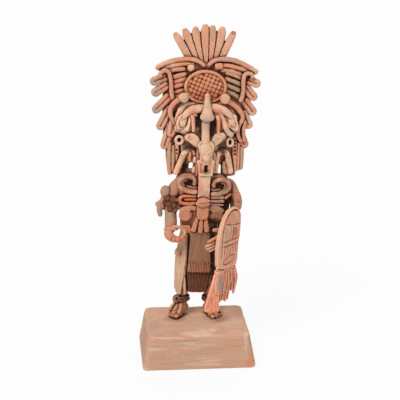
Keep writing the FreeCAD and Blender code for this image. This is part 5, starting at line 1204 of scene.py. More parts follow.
class OBJECT_OT_great_mask(ClayOperator, bpy.types.Operator):
    """Large mask: brow, eyes, lips and fangs, hanging snout and throat"""
    bl_idname = "clay.great_mask"
    bl_label = "Large mask"

    def execute(self, context):
        wall = [(-30, 206), (-31, 220), (-27, 231), (-20, 236.6), (-8, 238.4), (8, 238.8), (22, 237.4),
                (30, 231), (35.4, 220), (35, 206), (24, 203), (-20, 203)]
        block = Lump([slab(wall, -7, 2), slab([(-24, 207), (-22, 180), (26, 180), (30, 207)], -2, 3)],
                     cell=WALL_CELL, relax=3)
        block.roughen(0.3, 6, 2).keep("mask_wall", "clay_mask", "face_block")
        wings = [rod(at(-10.6, [(1, 232.4), (-6, 232), (-13, 230.4), (-18.6, 226.6), (-20.8, 222.8)],
                        [4.2, 4.6, 4.6, 3.8, 2.4]), flat=0.8),
                 rod(at(-10.6, [(3, 232.8), (10, 232.8), (17, 231.6), (23.8, 228), (27.8, 223.4)],
                        [4.2, 4.8, 4.8, 4, 2.4]), flat=0.8)]
        brow = Lump(wings, cell=0.55, relax=3)
        for line in ([(-4, 236.2), (-12, 234.8), (-19.6, 230.2), (-22.6, 225)],
                     [(8, 237), (16, 236), (24.4, 232), (29.6, 226)]):
            brow.press(line, 1.1, 0.5)
        brow.roughen(0.25, 5, 3).keep("brow_wings", "clay_mask", "brows")
        nose = [rod([(2, -12, 245.6, 2.7), (2.2, -14, 240, 3.5), (2.3, -15, 232, 4.9),
                     (2.4, -15.4, 226, 6.6)], flat=1.0), ball((2.4, -15.4, 224.2), (7.6, 6.4, 4.9)),
                ball((2, -11.8, 246), (2.9, 2.8, 2.8))]
        snout = Lump(nose, cell=0.55, relax=3)
        snout.press([(-1.6, 240), (-2, 230), (-5, 225)], 1, 0.4)
        snout.press([(5.8, 240), (6.4, 230), (9, 225)], 1, 0.4)
        snout.roughen(0.2, 5, 4).keep("hanging_snout", "clay_mask", "trunk_nose")
        outlines = ([(-16.2, 229.4), (-14.4, 222.6), (-17.2, 211.6), (-22, 207.8), (-26.6, 208),
                     (-29, 214.6), (-27.6, 220.4), (-23.4, 225.8)],
                    [(19.6, 230), (27.8, 228.4), (33.8, 221), (36.4, 212.4), (34.6, 208.6), (29.4, 209.6),
                     (25.6, 213.6), (21.8, 220)])
        solids = [slab(smooth_line([*outline, outline[0]], 1.0)[:-1], -10.8, -6.4) for outline in outlines]
        solids += [ball((-22.6, -9.4, 216.6), (4.6, 2.6, 8), -28),
                   ball((28.6, -9.4, 218.6), (5, 2.6, 8.4), 28)]
        leaves = Lump(solids, cell=FINE_CELL, relax=3)
        for outline, middle in zip(outlines, ((-22, 217.4), (28.2, 218.8))):
            inner = [tuple(np.array(middle) + (np.array(pair) - middle) * 0.62) for pair in outline]
            leaves.press([*inner, inner[0]], 0.75, 0.8)
        for pair in ((-23.4, 219.4), (27, 222.2)):
            leaves.prick(pair, 1.1, 1.2, 0.2)
        leaves.roughen(0.2, 4, 5).keep("eye_leaves", "clay_mask", "eyes")
        rolls = [at(-11, [(-7.6, 224.4), (-11.6, 226), (-14.4, 222.6), (-15.4, 216.4), (-17.8, 210),
                          (-24.2, 206.4)], [1.9, 2.2, 2, 2, 2.4, 2.5]),
                 at(-11, [(9, 226.6), (13, 228), (16.6, 226), (19.6, 220.8), (21.6, 214.6), (25.4, 207.8),
                          (31, 203)], [1.9, 2.3, 2.3, 2.6, 2.9, 3, 2.8])]
        keep_coils("lip_coils", "clay_mask", rolls, "lips", seed=33)
        teeth = [at(-12, [(-14.6, 226.4), (-12.4, 223), (-11.7, 216.4), (-11, 207)], [2, 2.2, 2.1, 1.5]),
                 at(-12.4, [(10.4, 225.6), (13.6, 224), (14.9, 219), (14.9, 211.5), (14.8, 203.6)],
                    [1.7, 2.2, 2.2, 1.9, 1.1])]
        keep_coils("fang_pair", "clay_mask", teeth, "fangs", seed=34, even=0.6)
        tube = Lump([rod([(1.2, -13, 217.6, 4.3), (1.5, -13.4, 208, 4.2), (1.9, -13.2, 197.6, 4.5)])],
                    cell=EVEN_CELL).roughen(0.2, 5, 6)
        tube.keep("throat_roll", "clay_mask", "throat_tube")
        Lump([ball((-22.4, -11.6, 243.8), (5.4, 4.8, 5.2)), ball((20.4, -11.6, 243.4), (5.4, 4.8, 5.4))],
             cell=EVEN_CELL).roughen(0.35, 5, 7).keep("brow_balls", "clay_mask", "brow_knobs")
        return {"FINISHED"}


class OBJECT_OT_small_mask(ClayOperator, bpy.types.Operator):
    """Small beast mask with its ears, open mouth and long tongue strip"""
    bl_idname = "clay.small_mask"
    bl_label = "Small mask"

    def execute(self, context):
        outline = [(2.2, 199), (8, 198), (11.4, 194.4), (11, 188), (9.8, 182), (10.3, 175.6), (-3.4, 175.6),
                   (-2.8, 182), (-4.6, 188), (-6.4, 194.4), (-4, 198)]
        face = Lump([slab(outline, -14.6, -8), ball((2.9, -13.6, 188), (6.8, 5.6, 10.4)),
                     ball((3.2, -15.8, 180.4), (4.4, 4.2, 4.4))], cell=FINE_CELL, relax=3)
        for pair in ((0.6, 184.6), (5.4, 185), (-3.4, 194.6), (-2, 193.6)):
            face.prick(pair, 0.8, 1.0, 0.2)
        face.press([(0.4, 179.6), (3, 178.4), (5.8, 179.8)], 0.7, 0.6)
        face.press([(-2, 190), (2.6, 186.6), (7.6, 190.4)], 0.9, 0.4)
        face.roughen(0.22, 4, 3).keep("beast_face", "clay_mask", "beast_head")
        lobes = [rod(at(-11.6, [(-3.2, 192), (-7.4, 196.6), (-12.4, 200.6), (-16, 201.4)], [3, 5, 5.4, 4]),
                     flat=0.5),
                 rod(at(-11.6, [(8.4, 193), (12.4, 197.8), (16.4, 202), (19.6, 203.4)], [3, 5, 5.4, 3.8]),
                     flat=0.5)]
        ears = Lump(lobes, cell=FINE_CELL, relax=2)
        for centre in ((-14.4, 201), (17, 203)):
            ears.press(closed_oval(centre, (1.7, 1.9), 16), 0.6, 0.6)
        ears.press([(-6, 195), (-11, 199)], 2.2, 0.7).press([(10, 195.4), (15.4, 200.4)], 2.2, 0.7)
        ears.roughen(0.2, 4, 8).keep("beast_ear_pair", "clay_mask", "beast_ears")
        frame_outline = [(-5.2, 176.6), (11.6, 176.6), (11.4, 170), (10.4, 160.4), (-2.9, 160.4),
                         (-4.4, 168)]
        mouth = Lump([slab(frame_outline, -14.6, -8.4),
                      rod(at(-13.4, [(-4.8, 175.6), (3, 176.2), (11, 175.6)], 1.8)),
                      rod(at(-13.8, [(-4.2, 174), (-2.4, 162)], 1.5)),
                      rod(at(-13.8, [(10.6, 174), (9.6, 162)], 1.5))], cell=FINE_CELL, relax=2)
        mouth.press([(3.8, 169.6), (3.9, 165.4)], 3.3, 5.2)
        for x in (-2.4, -0.8):
            mouth.press([(x, 173), (x + 0.5, 163)], 0.6, 0.8)
        mouth.press([(7.8, 172), (8, 163)], 0.6, 0.7)
        mouth.roughen(0.2, 4, 9).keep("beast_mouth", "clay_mask", "mouth_frame")
        ribbon = [(-3.4, 163), (-3.7, 150), (-3.9, 135), (8.8, 134.6), (9, 150), (9.2, 163)]
        tongue = Lump([slab(ribbon, -12.6, -8.6), ball((2.8, -11.6, 150), (5.2, 1.8, 13))], cell=0.55,
                      relax=3).roughen(0.3, 7, 5)
        tongue.keep("tongue_ribbon", "clay_strip", "tongue_strip")
        return {"FINISHED"}


class OBJECT_OT_ear_ornaments(ClayOperator, bpy.types.Operator):
    """Ear spools, hanging arches with drops, dotted straps and side coils"""
    bl_idname = "clay.ear_ornaments"
    bl_label = "Ear ornaments"

    def execute(self, context):
        rings = [[(x, -6.6, z, 1.5) for x, z in oval((-25.1, 197), (3.6, 3.9), 18)],
                 [(x, -6.6, z, 1.4) for x, z in oval((28.4, 195.6), (2.9, 4.1), 18)]]
        spools = coils("spools", rings, "clay_mask", closed=True, seed=41, even=0.7)
        cups = Lump([ball((-25.1, -2.8, 197), (4.4, 4, 4.8)), ball((28.4, -2.8, 195.6), (3.8, 4, 5.1))],
                    cell=FINE_CELL)
        for centre in ((-25.1, 197), (28.4, 195.6)):
            cups.prick(centre, 3.2, 3.4)
        keep(merged("spool_rings", [spools, cups.piece("cups")]), "clay_mask", "ear_spools")
        arches = [at(-3.4, [(-27, 158), (-26, 164), (-22.4, 173.6), (-19.4, 181), (-14.4, 185.3),
                            (-9.8, 183.8), (-7.6, 178.6)], [3.5, 3.4, 3.2, 3, 2.9, 2.7, 2.4]),
                  at(-3.4, [(14.2, 160), (15, 170), (16, 178.4), (18.4, 184), (22.2, 186), (26.4, 181.6),
                            (28.6, 172), (31, 160)], [3, 3.1, 3, 3, 3, 3, 3.2, 3.4])]
        drops = [at(-6.4, [(-12.9, 184.4), (-13.4, 178), (-12.8, 173.4)], [1.5, 1.6, 1.2]),
                 at(-5.6, [(-7.8, 180.2), (-7.6, 176), (-7.4, 171.6)], [1.7, 2.5, 2.4]),
                 at(-5, [(-7.4, 168.4), (-8.4, 164), (-9, 160.6)], [2.2, 2.2, 2.4]),
                 at(-2, [(23.9, 174), (24.6, 166.4), (25.8, 159.4)], [2, 2.6, 2.4]),
                 at(-5, [(12.6, 184), (12.2, 176), (12.6, 168.4), (12.8, 161)], [1.8, 2.3, 2.1, 2])]
        keep_coils("arch_coils", "clay_mask", arches + drops, "pendant_arches", seed=43)
        straps = Lump([rod(at(0.4, [(-27.2, 190), (-27, 180), (-26.8, 170)], [2.4, 2.6, 2.1]), flat=0.6),
                       rod(at(0, [(33.8, 198), (34.6, 186), (35.4, 174), (36, 163)], [2.4, 2.8, 2.7, 2.1]),
                           flat=0.6)], cell=FINE_CELL)
        for pair in DOTS:
            straps.prick(pair, 1.6, 1.3)
        straps.roughen(0.15, 5, 3).keep("strap_pair", "clay_strip", "dotted_straps")
        locks = [at(-0.5, [(-34.8, 194), (-34.4, 175), (-33.2, 157)], [2.2, 2.5, 2.1]),
                 at(-1.2, [(-31, 190), (-30.6, 176), (-30, 160)], [1.6, 2, 1.8]),
                 at(-0.5, [(38.4, 195), (38.9, 180), (39.2, 163)], [1.7, 2, 1.8]),
                 at(-0.5, [(41.6, 192), (42, 178), (41.6, 164)], [2.1, 2.6, 2.5])]
        keep_coils("side_coils", "clay_pink", locks, "side_locks", seed=45)
        return {"FINISHED"}


# Paint, age, and painted light and shade


# Stains of paint, painted shadows and a painted highlight. Centre across, depth and height, then its three
# half sizes, the colour and how strong it is
STAINS_AND_PAINTED_LIGHT = [
    (-16, -12, 175, 11, 9, 17, "apron", 0.5), (24, -12, 175, 11, 9, 17, "apron", 0.5),
    (41.5, 0, 177, 3, 9, 16, "green", 0.5), (-33, 0, 175, 3, 9, 16, "green", 0.45),
    # The soot entry on this line is a painted shadow beside the left shoulder.
    (32, -5, 141, 2.6, 12, 14, "soot", 0.8), (38, -5, 138, 3.5, 9, 10, "pink", 0.5),
    (-34, 5, 305, 4.5, 9, 6, "orange", 0.5), (-31, 5, 303, 3, 9, 4, "cream", 0.5),
    (-21, 5, 306, 5, 9, 9, "pink", 0.45), (0, 5, 303, 5, 9, 14, "pink", 0.35),
    (28, 5, 311, 4, 9, 3.4, "rust", 0.6), (-24, 5, 313, 4, 9, 3, "grey", 0.5),
    (6, 5, 308, 4, 9, 9, "green", 0.35), (13, 5, 310, 4, 9, 7, "pink", 0.3),
    (-10, 5, 312, 4, 9, 4, "grey", 0.45), (-52, 0, 257, 7, 9, 6, "grey", 0.75),
    (-51, 0, 243, 7, 9, 6, "grey", 0.75), (-50, 0, 227, 6, 9, 7, "grey", 0.65),
    (-40, 0, 277, 14, 9, 4, "cream", 0.35), (-22, 0, 279, 13, 9, 6, "orange", 0.35),
    (-20, 0, 275, 8, 9, 4, "pink", 0.5), (30, 0, 276, 14, 9, 4, "pink", 0.55),
    (22, 0, 283, 16, 9, 4, "grey", 0.4), (50, 0, 270, 6, 9, 6, "cream", 0.4),
    (30, 0, 252, 10, 9, 11, "green", 0.65), (55, 0, 255, 8, 9, 8, "cream", 0.4),
    (47, 0, 240, 8, 9, 8, "pink", 0.4), (-27, 0, 255, 8, 9, 10, "pink", 0.6),
    (-38, 0, 238, 7, 9, 9, "pink", 0.35), (-36, 0, 256, 5, 9, 16, "pink", 0.4),
    (-38, 0, 212, 8, 9, 18, "cream", 0.25), (50, 0, 218, 8, 9, 12, "cream", 0.3),
    (47, 0, 195, 6, 9, 9, "pink", 0.4), (-31, -7, 234, 5, 9, 8, "pink", 0.65),
    (30, -7, 235, 8, 9, 7, "pink", 0.6), (39, -5, 212, 5, 9, 12, "pink", 0.3),
    (13, -3, 275.5, 6, 6, 5, "pink", 0.85), (-14, -3, 275, 6, 6, 4, "cream", 0.6),
    (14, -8, 258, 10, 9, 9, "pink", 0.25), (-8, -8, 258, 12, 9, 10, "orange", 0.22),
    (2, -9, 243, 22, 9, 7, "rust", 0.3), (19, -12, 245, 6, 8, 6, "orange", 0.35),
    (-22, -12, 245, 6, 8, 6, "green", 0.3), (-13, -12, 232, 6, 8, 6, "orange", 0.35),
    (13, -12, 230, 7, 8, 5, "pink", 0.7), (-12, -12, 225, 4, 8, 8, "pink", 0.7),
    (-12, -12, 212, 3, 8, 7, "pink", 0.4), (14.5, -13, 218, 3, 8, 13, "orange", 0.95),
    (14, -14, 224, 3, 8, 3, "cream", 0.7), (-24, -11, 207, 7, 8, 4, "grey", 0.8),
    (26, -11, 207, 7, 8, 8, "grey", 0.55), (18, -11, 222, 5, 8, 9, "pink", 0.5),
    (2, -15, 225, 7, 9, 6, "grey", 0.45), (2.2, -14, 238, 4, 9, 8, "green", 0.25),
    # The soot entry at the end of this line is a painted shadow under the snout.
    (-23, -10, 220, 5, 8, 6, "cream", 0.3), (3, -13, 215, 10.5, 9, 9, "soot", 0.22),
    (-6, -12, 196, 7, 8, 5, "cream", 0.35), (13, -12, 199, 6, 8, 5, "green", 0.3),
    (-14.5, -12, 201, 3, 8, 3, "pink", 0.5), (3, -15, 190, 7, 9, 8, "cream", 0.25),
    (-3, -13, 170, 4, 8, 7, "orange", 0.6), (9, -13, 172, 4, 8, 5, "orange", 0.4),
    (3, -12, 158, 7, 8, 8, "cream", 0.55), (-1, -12, 146, 4, 8, 9, "pink", 0.7),
    (5, -12, 139, 6, 8, 5, "grey", 0.35), (-13, -6, 180, 2.6, 9, 8, "orange", 0.85),
    (-24, -3, 166, 5, 9, 8, "orange", 0.3), (25, -3, 166, 4, 9, 9, "rust", 0.45),
    (35.5, 0, 180, 4, 9, 18, "pink", 0.55), (-15, -11, 143, 11, 9, 6, "orange", 0.25),
    (20, -11, 144, 10, 9, 7, "green", 0.5), (-19, -4, 152, 5, 8, 6, "pink", 0.4),
    (-30, 0, 150, 6, 9, 7, "orange", 0.25), (-13, -11, 133, 11, 8, 6, "orange", 0.9),
    (-20, -11, 133, 6, 8, 6, "pink", 0.6), (17, -11, 132, 9, 8, 6, "grey", 0.65),
    # The soot entry at the start of this line is painted shade among the belt loops.
    (17, -11, 131, 8, 8, 5, "soot", 0.2), (30, -8, 138, 4, 8, 3.4, "orange", 0.85),
    (24, -11, 136, 3, 8, 3, "pink", 0.8), (1.4, -17, 133, 9, 8, 6, "pink", 0.35),
    (2, -15, 120, 8, 8, 9, "orange", 0.25), (-14, -11, 100, 6, 8, 6, "orange", 0.4),
    # The soot entry on this line is painted shade beside the hip scroll.
    (-15, -11, 118, 7, 8, 7, "pink", 0.3), (17, -10, 114, 8, 8, 8, "soot", 0.35),
    (17, -10, 123, 8, 8, 4, "green", 0.35), (-37, -5, 141, 6, 9, 6, "grey", 0.35),
    (-43, -3, 118, 4, 9, 9, "grey", 0.75), (-31, -6, 112, 7, 12, 10, "green", 0.35),
    (-32, -19, 103, 8, 9, 4, "pink", 0.5), (-30, -20, 93, 9, 9, 6, "pink", 0.75),
    (-20, -20, 94, 6, 9, 5, "orange", 0.45), (-18, -20, 101, 5, 9, 3, "cream", 0.4),
    (13, -24, 95, 9, 9, 4, "orange", 0.45), (11, -24, 85, 10, 9, 5, "cream", 0.3),
    (13, -23, 103, 4, 8, 3, "pink", 0.5), (-18, -9, 50, 5, 14, 22, "cream", 0.35),
    (-22, -9, 73, 5, 10, 6, "pink", 0.5), (-15, -11, 80, 4, 9, 16, "grey", 0.3),
    (1, -12, 57, 14, 6, 6, "pink", 0.35), (0, -10, 29, 12, 9, 4, "rust", 0.4),
    (21.5, -29, 47, 6, 10, 14, "grey", 0.7), (34, -20, 46, 9, 14, 14, "pink", 0.65),
    (26, -30, 24, 9, 14, 12, "orange", 0.3), (14, -36, 30, 8, 14, 18, "orange", 0.4),
    (-25, -15, 3, 7, 9, 4, "pink", 0.55), (24, -15, 3, 8, 9, 4, "pink", 0.4),
    (32, -22, 116, 7, 16, 7, "pink", 0.45), (34, -22, 104, 8, 16, 7, "cream", 0.5),
    (36, -18, 98, 5, 14, 8, "pink", 0.6), (28, -28, 96, 4, 16, 12, "green", 0.3),
    (22, -34, 88, 5, 12, 24, "cream", 0.35), (31, -22, 72, 9, 16, 8, "pink", 0.4),
    (-30, -56, -6, 18, 14, 1.6, "cream", 0.55), (-24, -36, -2, 14, 7, 3, "orange", 0.4),
    (8, -46, -3, 16, 6, 4, "cream", 0.6), (-46, -30, -3, 9, 16, 6, "grey", 0.3),
    (36, -46, -5, 14, 6, 3, "pink", 0.4), (-12, -58, -9, 16, 9, 1.6, "grey", 0.5),
    (26, -60, -16, 22, 9, 2.4, "pink", 0.4), (-40, -60, -26, 14, 9, 3, "orange", 0.35),
    (50, -52, -8, 3, 26, 12, "cream", 0.5), (6, -60, -34, 26, 9, 2, "cream", 0.4),
    (56, -52, -30, 4, 16, 12, "orange", 0.7), (0, -60, -12, 30, 9, 1.4, "cream", 0.4),
    (-20, -60, -20, 24, 9, 2, "pink", 0.3), (-58, -48, -16, 3, 9, 14, "orange", 0.4),
    (-24, -14, 0, 13, 9, 4, "rust", 0.55), (22, -12, 0, 15, 10, 4, "rust", 0.5),
    # Painted shade down to the collar lines: every soot entry here, the rust one behind the hip scroll and
    # the two dark ones on the collar. They darken the wall and slab behind the masks, the torso behind the
    # hip scrolls and collar, the cloak behind the shield, the skirt beside the apron, the slab inside the
    # arches, and the shin under the skirt.
    (2, -5, 222, 36, 2.4, 19, "soot", 0.8), (0, 2.6, 226, 46, 1.3, 56, "soot", 0.55),
    (2, -4, 207, 24, 3.4, 14, "soot", 0.8), (21, -7.6, 106, 14, 2.6, 16, "soot", 0.8),
    (-14, -7.6, 108, 12, 2.4, 12, "rust", 0.6), (0, -8, 150, 26, 3, 12, "soot", 0.6),
    (28, 8, 116, 12, 3, 34, "soot", 0.95), (2, -7, 222, 17, 3, 13, "soot", 0.97),
    (15.6, -5, 70, 3.6, 9, 42, "soot", 0.85), (-12.6, -8, 70, 3, 4, 40, "soot", 0.6),
    (2, -5.4, 213, 17, 4.6, 15, "soot", 0.97), (20, 8.6, 72, 9, 4, 46, "soot", 0.95),
    (16, -9, 97, 6, 4.4, 9, "soot", 0.85), (-19, 1, 167, 6, 3.4, 10, "soot", 0.95),
    (25, 1, 169, 6, 3.4, 13, "soot", 0.95), (14, 0, 21, 9, 9, 7, "soot", 0.55),
    (-15, -10, 152, 13, 8, 10, "dark", 0.6), (20, -10, 149, 13, 8, 10, "dark", 0.6),
    (-13, -8.5, 151.5, 7, 2.6, 5, "soot", 0.9), (18.5, -8.5, 149.3, 7, 2.6, 5, "soot", 0.9),
    (-30, -55.5, -4.6, 24, 3, 1, "ember", 0.4), (0, -50, -3, 22, 8, 2.2, "cream", 0.7),
    # The soot entry on this line is a painted shadow beside the left arm.
    (-58, -20, -18, 5, 34, 20, "grey", 0.35), (33, -3, 128, 3.6, 9, 12, "soot", 0.85),
    # The soot entry on this line is painted shade under the belt.
    (17, -10, 110, 8, 8, 4, "soot", 0.6), (-22, -4, 19.5, 4, 6, 5, "cream", 0.5),
    # The soot entry on this line is painted shade in the gap at the headdress's side hook.
    (47, 2, 262, 5, 4, 8, "soot", 0.9), (-15, -11, 133, 12, 8, 6, "ember", 0.75),
    (36.7, -18.3, 101, 3, 8, 5, "ember", 0.6), (-19, -20, 93, 4, 9, 4, "ember", 0.35),
    # The cream entry over the whole base top is a painted highlight: the top made lighter as light falls on
    # it.
    (0, -24, 0.5, 58, 26, 3.4, "cream", 0.35), (2, -7.6, 247, 21, 4, 8, "ember", 0.35),
    # Both soot entries are painted shadows behind the ear spools.
    (-16, -4.5, 191, 9, 4, 8, "soot", 0.9), (22, -4.5, 190, 8, 4, 8, "soot", 0.9),
    # The soot entry is painted shade under the belt, and the dark entry is painted shade under the armband.
    (16, -10, 108, 7, 8, 6, "soot", 0.7), (-28, -8, 112, 3.4, 10, 12, "dark", 0.6),
    # The dark entry is painted shade in the mouth opening.
    (-33, -8, 112, 6, 10, 12, "green", 0.35), (3.5, -14, 165, 5, 9, 4, "dark", 0.55),
]


DOTS = ((-27.1, 184.4), (-27, 180.6), (33.9, 196), (34.1, 192.6), (34.4, 189), (34.7, 185), (35, 181))
STAINS_AND_PAINTED_LIGHT += [(x, -1, z, 1.7, 3, 1.7, "rust", 0.9) for x, z in DOTS]


def spread_out(pairs, count, values, times):
    """Values of points, evened out along the edges that join them."""
    for _ in range(times):
        total = (np.bincount(pairs[:, 0], values[pairs[:, 1]], len(values))
                 + np.bincount(pairs[:, 1], values[pairs[:, 0]], len(values)))
        values = 0.4 * values + 0.6 * total / count
    return values


class OBJECT_OT_age_and_shade_surface(ClayOperator, bpy.types.Operator):
    """Age and painted shade: finds recesses and ridges on every piece for the patina, painted shade and
    painted highlights, and lays the stains of paint with the painted shadows among them
    """
    bl_idname = "clay.age_surface"
    bl_label = "Age, paint and painted shade"

    def execute(self, context):
        if not made:
            raise RuntimeError("there are no pieces to age yet")
        points, faces, start = [], [], 0
        for piece in made:
            mesh = piece.data
            mesh.calc_loop_triangles()
            faces.append(column_of(mesh.loop_triangles, "vertices", 3, np.int32) + start)
            points.append(spots_of(mesh))
            start += len(mesh.vertices)
        whole = BVHTree.FromPolygons(np.vstack(points).tolist(), np.vstack(faces).tolist(),
                                      all_triangles=True)
        # Recess is the share of short rays that hit clay nearby; it darkens recesses, partly as the clay's
        # patina and partly as painted shade.
        rays, reach, step_out = 9, 0.0075, 0.00025
        dice = np.random.default_rng(11)
        for piece, spots in zip(made, points):
            mesh = piece.data
            normals = column_of(mesh.vertices, "normal")
            blocked = np.zeros(len(spots))
            origins = [Vector(spot) for spot in (spots + normals * step_out).tolist()]
            for _ in range(rays):
                ways = dice.normal(size=spots.shape)
                ways = normals + ways / np.linalg.norm(ways, axis=1)[:, None] * 0.98
                hits = [whole.ray_cast(origin, way, reach)[3] for origin, way in zip(origins, ways.tolist())]
                blocked += [0.0 if gap is None else 1 - gap / reach for gap in hits]
            # Ridge is the surface's bend: ridges get a painted highlight, and creases add to the painted
            # shade.
            pairs = column_of(mesh.edges, "vertices", 2, np.int32)
            count = np.maximum(np.bincount(pairs.ravel(), minlength=len(spots)), 1)
            run = spots[pairs[:, 1]] - spots[pairs[:, 0]]
            size = np.maximum(np.linalg.norm(run, axis=1), 1e-7)
            bend = (np.bincount(pairs[:, 0], -(run * normals[pairs[:, 0]]).sum(axis=1) / size, len(spots))
                    + np.bincount(pairs[:, 1], (run * normals[pairs[:, 1]]).sum(axis=1) / size,
                                  len(spots))) / count
            write(mesh, "recess", spread_out(pairs, count, blocked / rays, 2))
            write(mesh, "ridge", np.clip(spread_out(pairs, count, bend, 3) * 5, -1, 1))
            paint(mesh, moved(spots, FIGURE.inverted()) / MM)
        return {"FINISHED"}


def write(mesh, name, values):
    layer = mesh.attributes.new(name, "FLOAT", "POINT")
    layer.data.foreach_set("value", np.ascontiguousarray(values, dtype=np.float32))


def paint(mesh, spots):
    """Lays the stains, painted shadows and painted highlight over a mesh as a colour and how much of it
    there is.
    """
    colour = np.zeros((len(spots), 3))
    cover = np.zeros(len(spots))
    ragged = noise_at(spots, 5.5, 21) * 0.7 + noise_at(spots, 1.9, 22) * 0.4
    for *places, name, strength in STAINS_AND_PAINTED_LIGHT:
        away = (((spots - places[:3]) / places[3:]) ** 2).sum(axis=1)
        share = np.clip((1.15 + ragged * 0.8 - away) * 1.5, 0, 1) * strength
        colour = colour * (1 - share)[:, None] + np.array(getattr(colours(), name)) * share[:, None]
        cover = cover * (1 - share) + share
    colour /= np.maximum(cover, 1e-4)[:, None]
    layer = mesh.attributes.new("paint", "FLOAT_COLOR", "POINT")
    layer.data.foreach_set("color", np.column_stack([colour, cover]).astype(np.float32).ravel())


# Finishes


def build_grain():
    """Height of fired clay: soft lumps, fine grit and small pits. Also a mask of pale grit."""
    net = new_group("Clay Grain", "ShaderNodeTree", {"Vector": "Vector"},
                    {"Height": "Float", "Grit": "Float"})
    place = net.given["Vector"]
    soft = net.noise(place, 420.0, 4.0, Roughness=0.6)
    fine = net.noise(place, 1500.0, 3.0, Roughness=0.7)
    pits = net.add("ShaderNodeTexVoronoi", {"Vector": place, "Scale": 520.0, "Randomness": 1.0})
    pits = net.ramp(pits, 0.05, 0.3, -0.5, 0.0)
    net.feed(net.result, {"Height": soft * 0.8 + fine * 0.3 + pits, "Grit": net.ramp(fine, 0.5, 0.72)})


def build_wash():
    """Thin washes brushed over clay in patches, with streaks where the brush ran dry."""
    net = new_group("Brush Wash", "ShaderNodeTree", {
        "Vector": "Vector", "Clay": (0.5, 0.3, 0.2, 1), "First": (0.6, 0.3, 0.2, 1),
        "Second": (0.7, 0.5, 0.3, 1),
        "Third": (0.4, 0.3, 0.2, 1), "Strength": 0.7, "Patch": 60.0,
        "Stretch": (1, 1, 1)}, {"Color": "Color"})
    given = net.given
    drawn = net.vector("MULTIPLY", given["Vector"], given["Stretch"])
    long_way = net.add("ShaderNodeMapping", {
        "Vector": given["Vector"], "Rotation": (0, 0.5, 0), "Scale": (1.0, 1.0, 0.22)})
    streak = net.ramp(net.noise(long_way, 900.0), 0.36, 0.62, 0.35, 1.0)
    colour = given["Clay"]
    for k, label in enumerate(("First", "Second", "Third")):
        shifted = net.vector("ADD", drawn, (k * 1.7, k * 0.9, k * 2.3))
        patch = net.noise(shifted, given["Patch"], 5.0, Roughness=0.62, Distortion=0.6)
        patch = net.ramp(patch, 0.5 + 0.015 * k, 0.7 + 0.01 * k)
        colour = net.mix(patch * streak * given["Strength"], colour, given[label])
    net.feed(net.result, {"Color": colour})


def build_patina_and_shade():
    """Paint stains with their painted shadows, painted highlights on ridges, and recess darkening that is
    partly the brown patina of fired clay and partly painted shade.
    """
    net = new_group("Recess Patina", "ShaderNodeTree", {
        "Color": (0.5, 0.3, 0.2, 1), "Paint": (0.5, 0.3, 0.2, 1), "Cover": 0.0, "Recess": 0.0, "Ridge": 0.0,
        "Grit": 0.0, "Rust": (0.3, 0.06, 0.02, 1), "Soot": (0.02, 0.01, 0.005, 1), "Strength": 1.0},
        {"Color": "Color", "Roughness": "Float"})
    given = net.given
    ridge, strength = given["Ridge"], given["Strength"]
    colour = net.mix(given["Cover"] * 0.95, given["Color"], given["Paint"])
    # Painted highlight: ridges are made paler; the pale grit is the clay's own colour.
    pale = net.mix(0.8, colour, (1.52, 1.5, 1.5, 1), "MULTIPLY")
    colour = net.mix(net.ramp(ridge, 0.1, 0.55) * 0.4, colour, pale)
    colour = net.mix(given["Grit"] * 0.22, colour, pale)
    # Recess darkening, rust at the edges and soot deepest: partly the clay's patina and partly painted
    # shade, with creases adding to it.
    depth = given["Recess"] + net.ramp(ridge, -0.12, -0.6) * 0.4 * 0.6
    tinted = net.mix(0.8, colour, given["Rust"], "MULTIPLY")
    tinted = net.mix(0.45, tinted, given["Rust"])
    edge = ridge.calc("MULTIPLY", net.ramp(depth, 0.08, 0.36), strength * 0.8, clamp=True)
    deepest = ridge.calc("MULTIPLY", net.ramp(depth, 0.28, 0.62), strength, clamp=True)
    colour = net.mix(deepest, net.mix(edge, colour, tinted), given["Soot"])
    net.feed(net.result, {"Color": colour, "Roughness": net.ramp(ridge, -0.3, 0.5, 0.95, 0.82)})


def clay_finish(name, colour, washes, wash_share, patch, patina_and_shade_share=1.0, stretch=(1, 1, 1)):
    """A fired clay finish: washes over its own colour, then stains with painted shadows, painted highlights
    on ridges, and recess darkening that is partly the clay's brown patina and partly painted shade.
    """
    settings, own = clay(), colours()
    finish = finishes[name] = bpy.data.materials.new(name + "_fired")
    finish.use_nodes = True
    net = Net(finish.node_tree)
    place = net.add("ShaderNodeTexCoord", out="Object")
    grain = net.group("Clay Grain", {"Vector": place}, "Height")
    first, second, third = ((*getattr(own, wash), 1) for wash in washes)
    washed = net.group("Brush Wash", {
        "Vector": place, "Clay": (*colour, 1), "First": first, "Second": second, "Third": third,
        "Strength": settings.wash * wash_share, "Patch": patch, "Stretch": stretch}, "Color")
    # The paint attribute holds stains of paint, painted shadows and a painted highlight.
    stain = net.add("ShaderNodeAttribute", out="Color", attribute_name="paint")
    recess, ridge = (net.add("ShaderNodeAttribute", out="Fac", attribute_name=label)
                     for label in ("recess", "ridge"))
    aged = net.group("Recess Patina", {
        "Color": washed, "Paint": stain, "Cover": stain.also("Alpha"), "Recess": recess, "Ridge": ridge,
        "Grit": grain.also("Grit"), "Rust": (*own.rust, 1), "Soot": (*own.soot, 1),
        "Strength": settings.patina_and_painted_shade * patina_and_shade_share}, "Color")
    bump = net.add("ShaderNodeBump", {"Height": grain, "Distance": settings.bump, "Strength": 0.6})
    shader = next(node for node in net.tree.nodes if node.type == "BSDF_PRINCIPLED")
    net.feed(shader, {"Specular IOR Level": 0.22, "Base Color": aged, "Roughness": aged.also("Roughness"),
                      "Normal": bump})


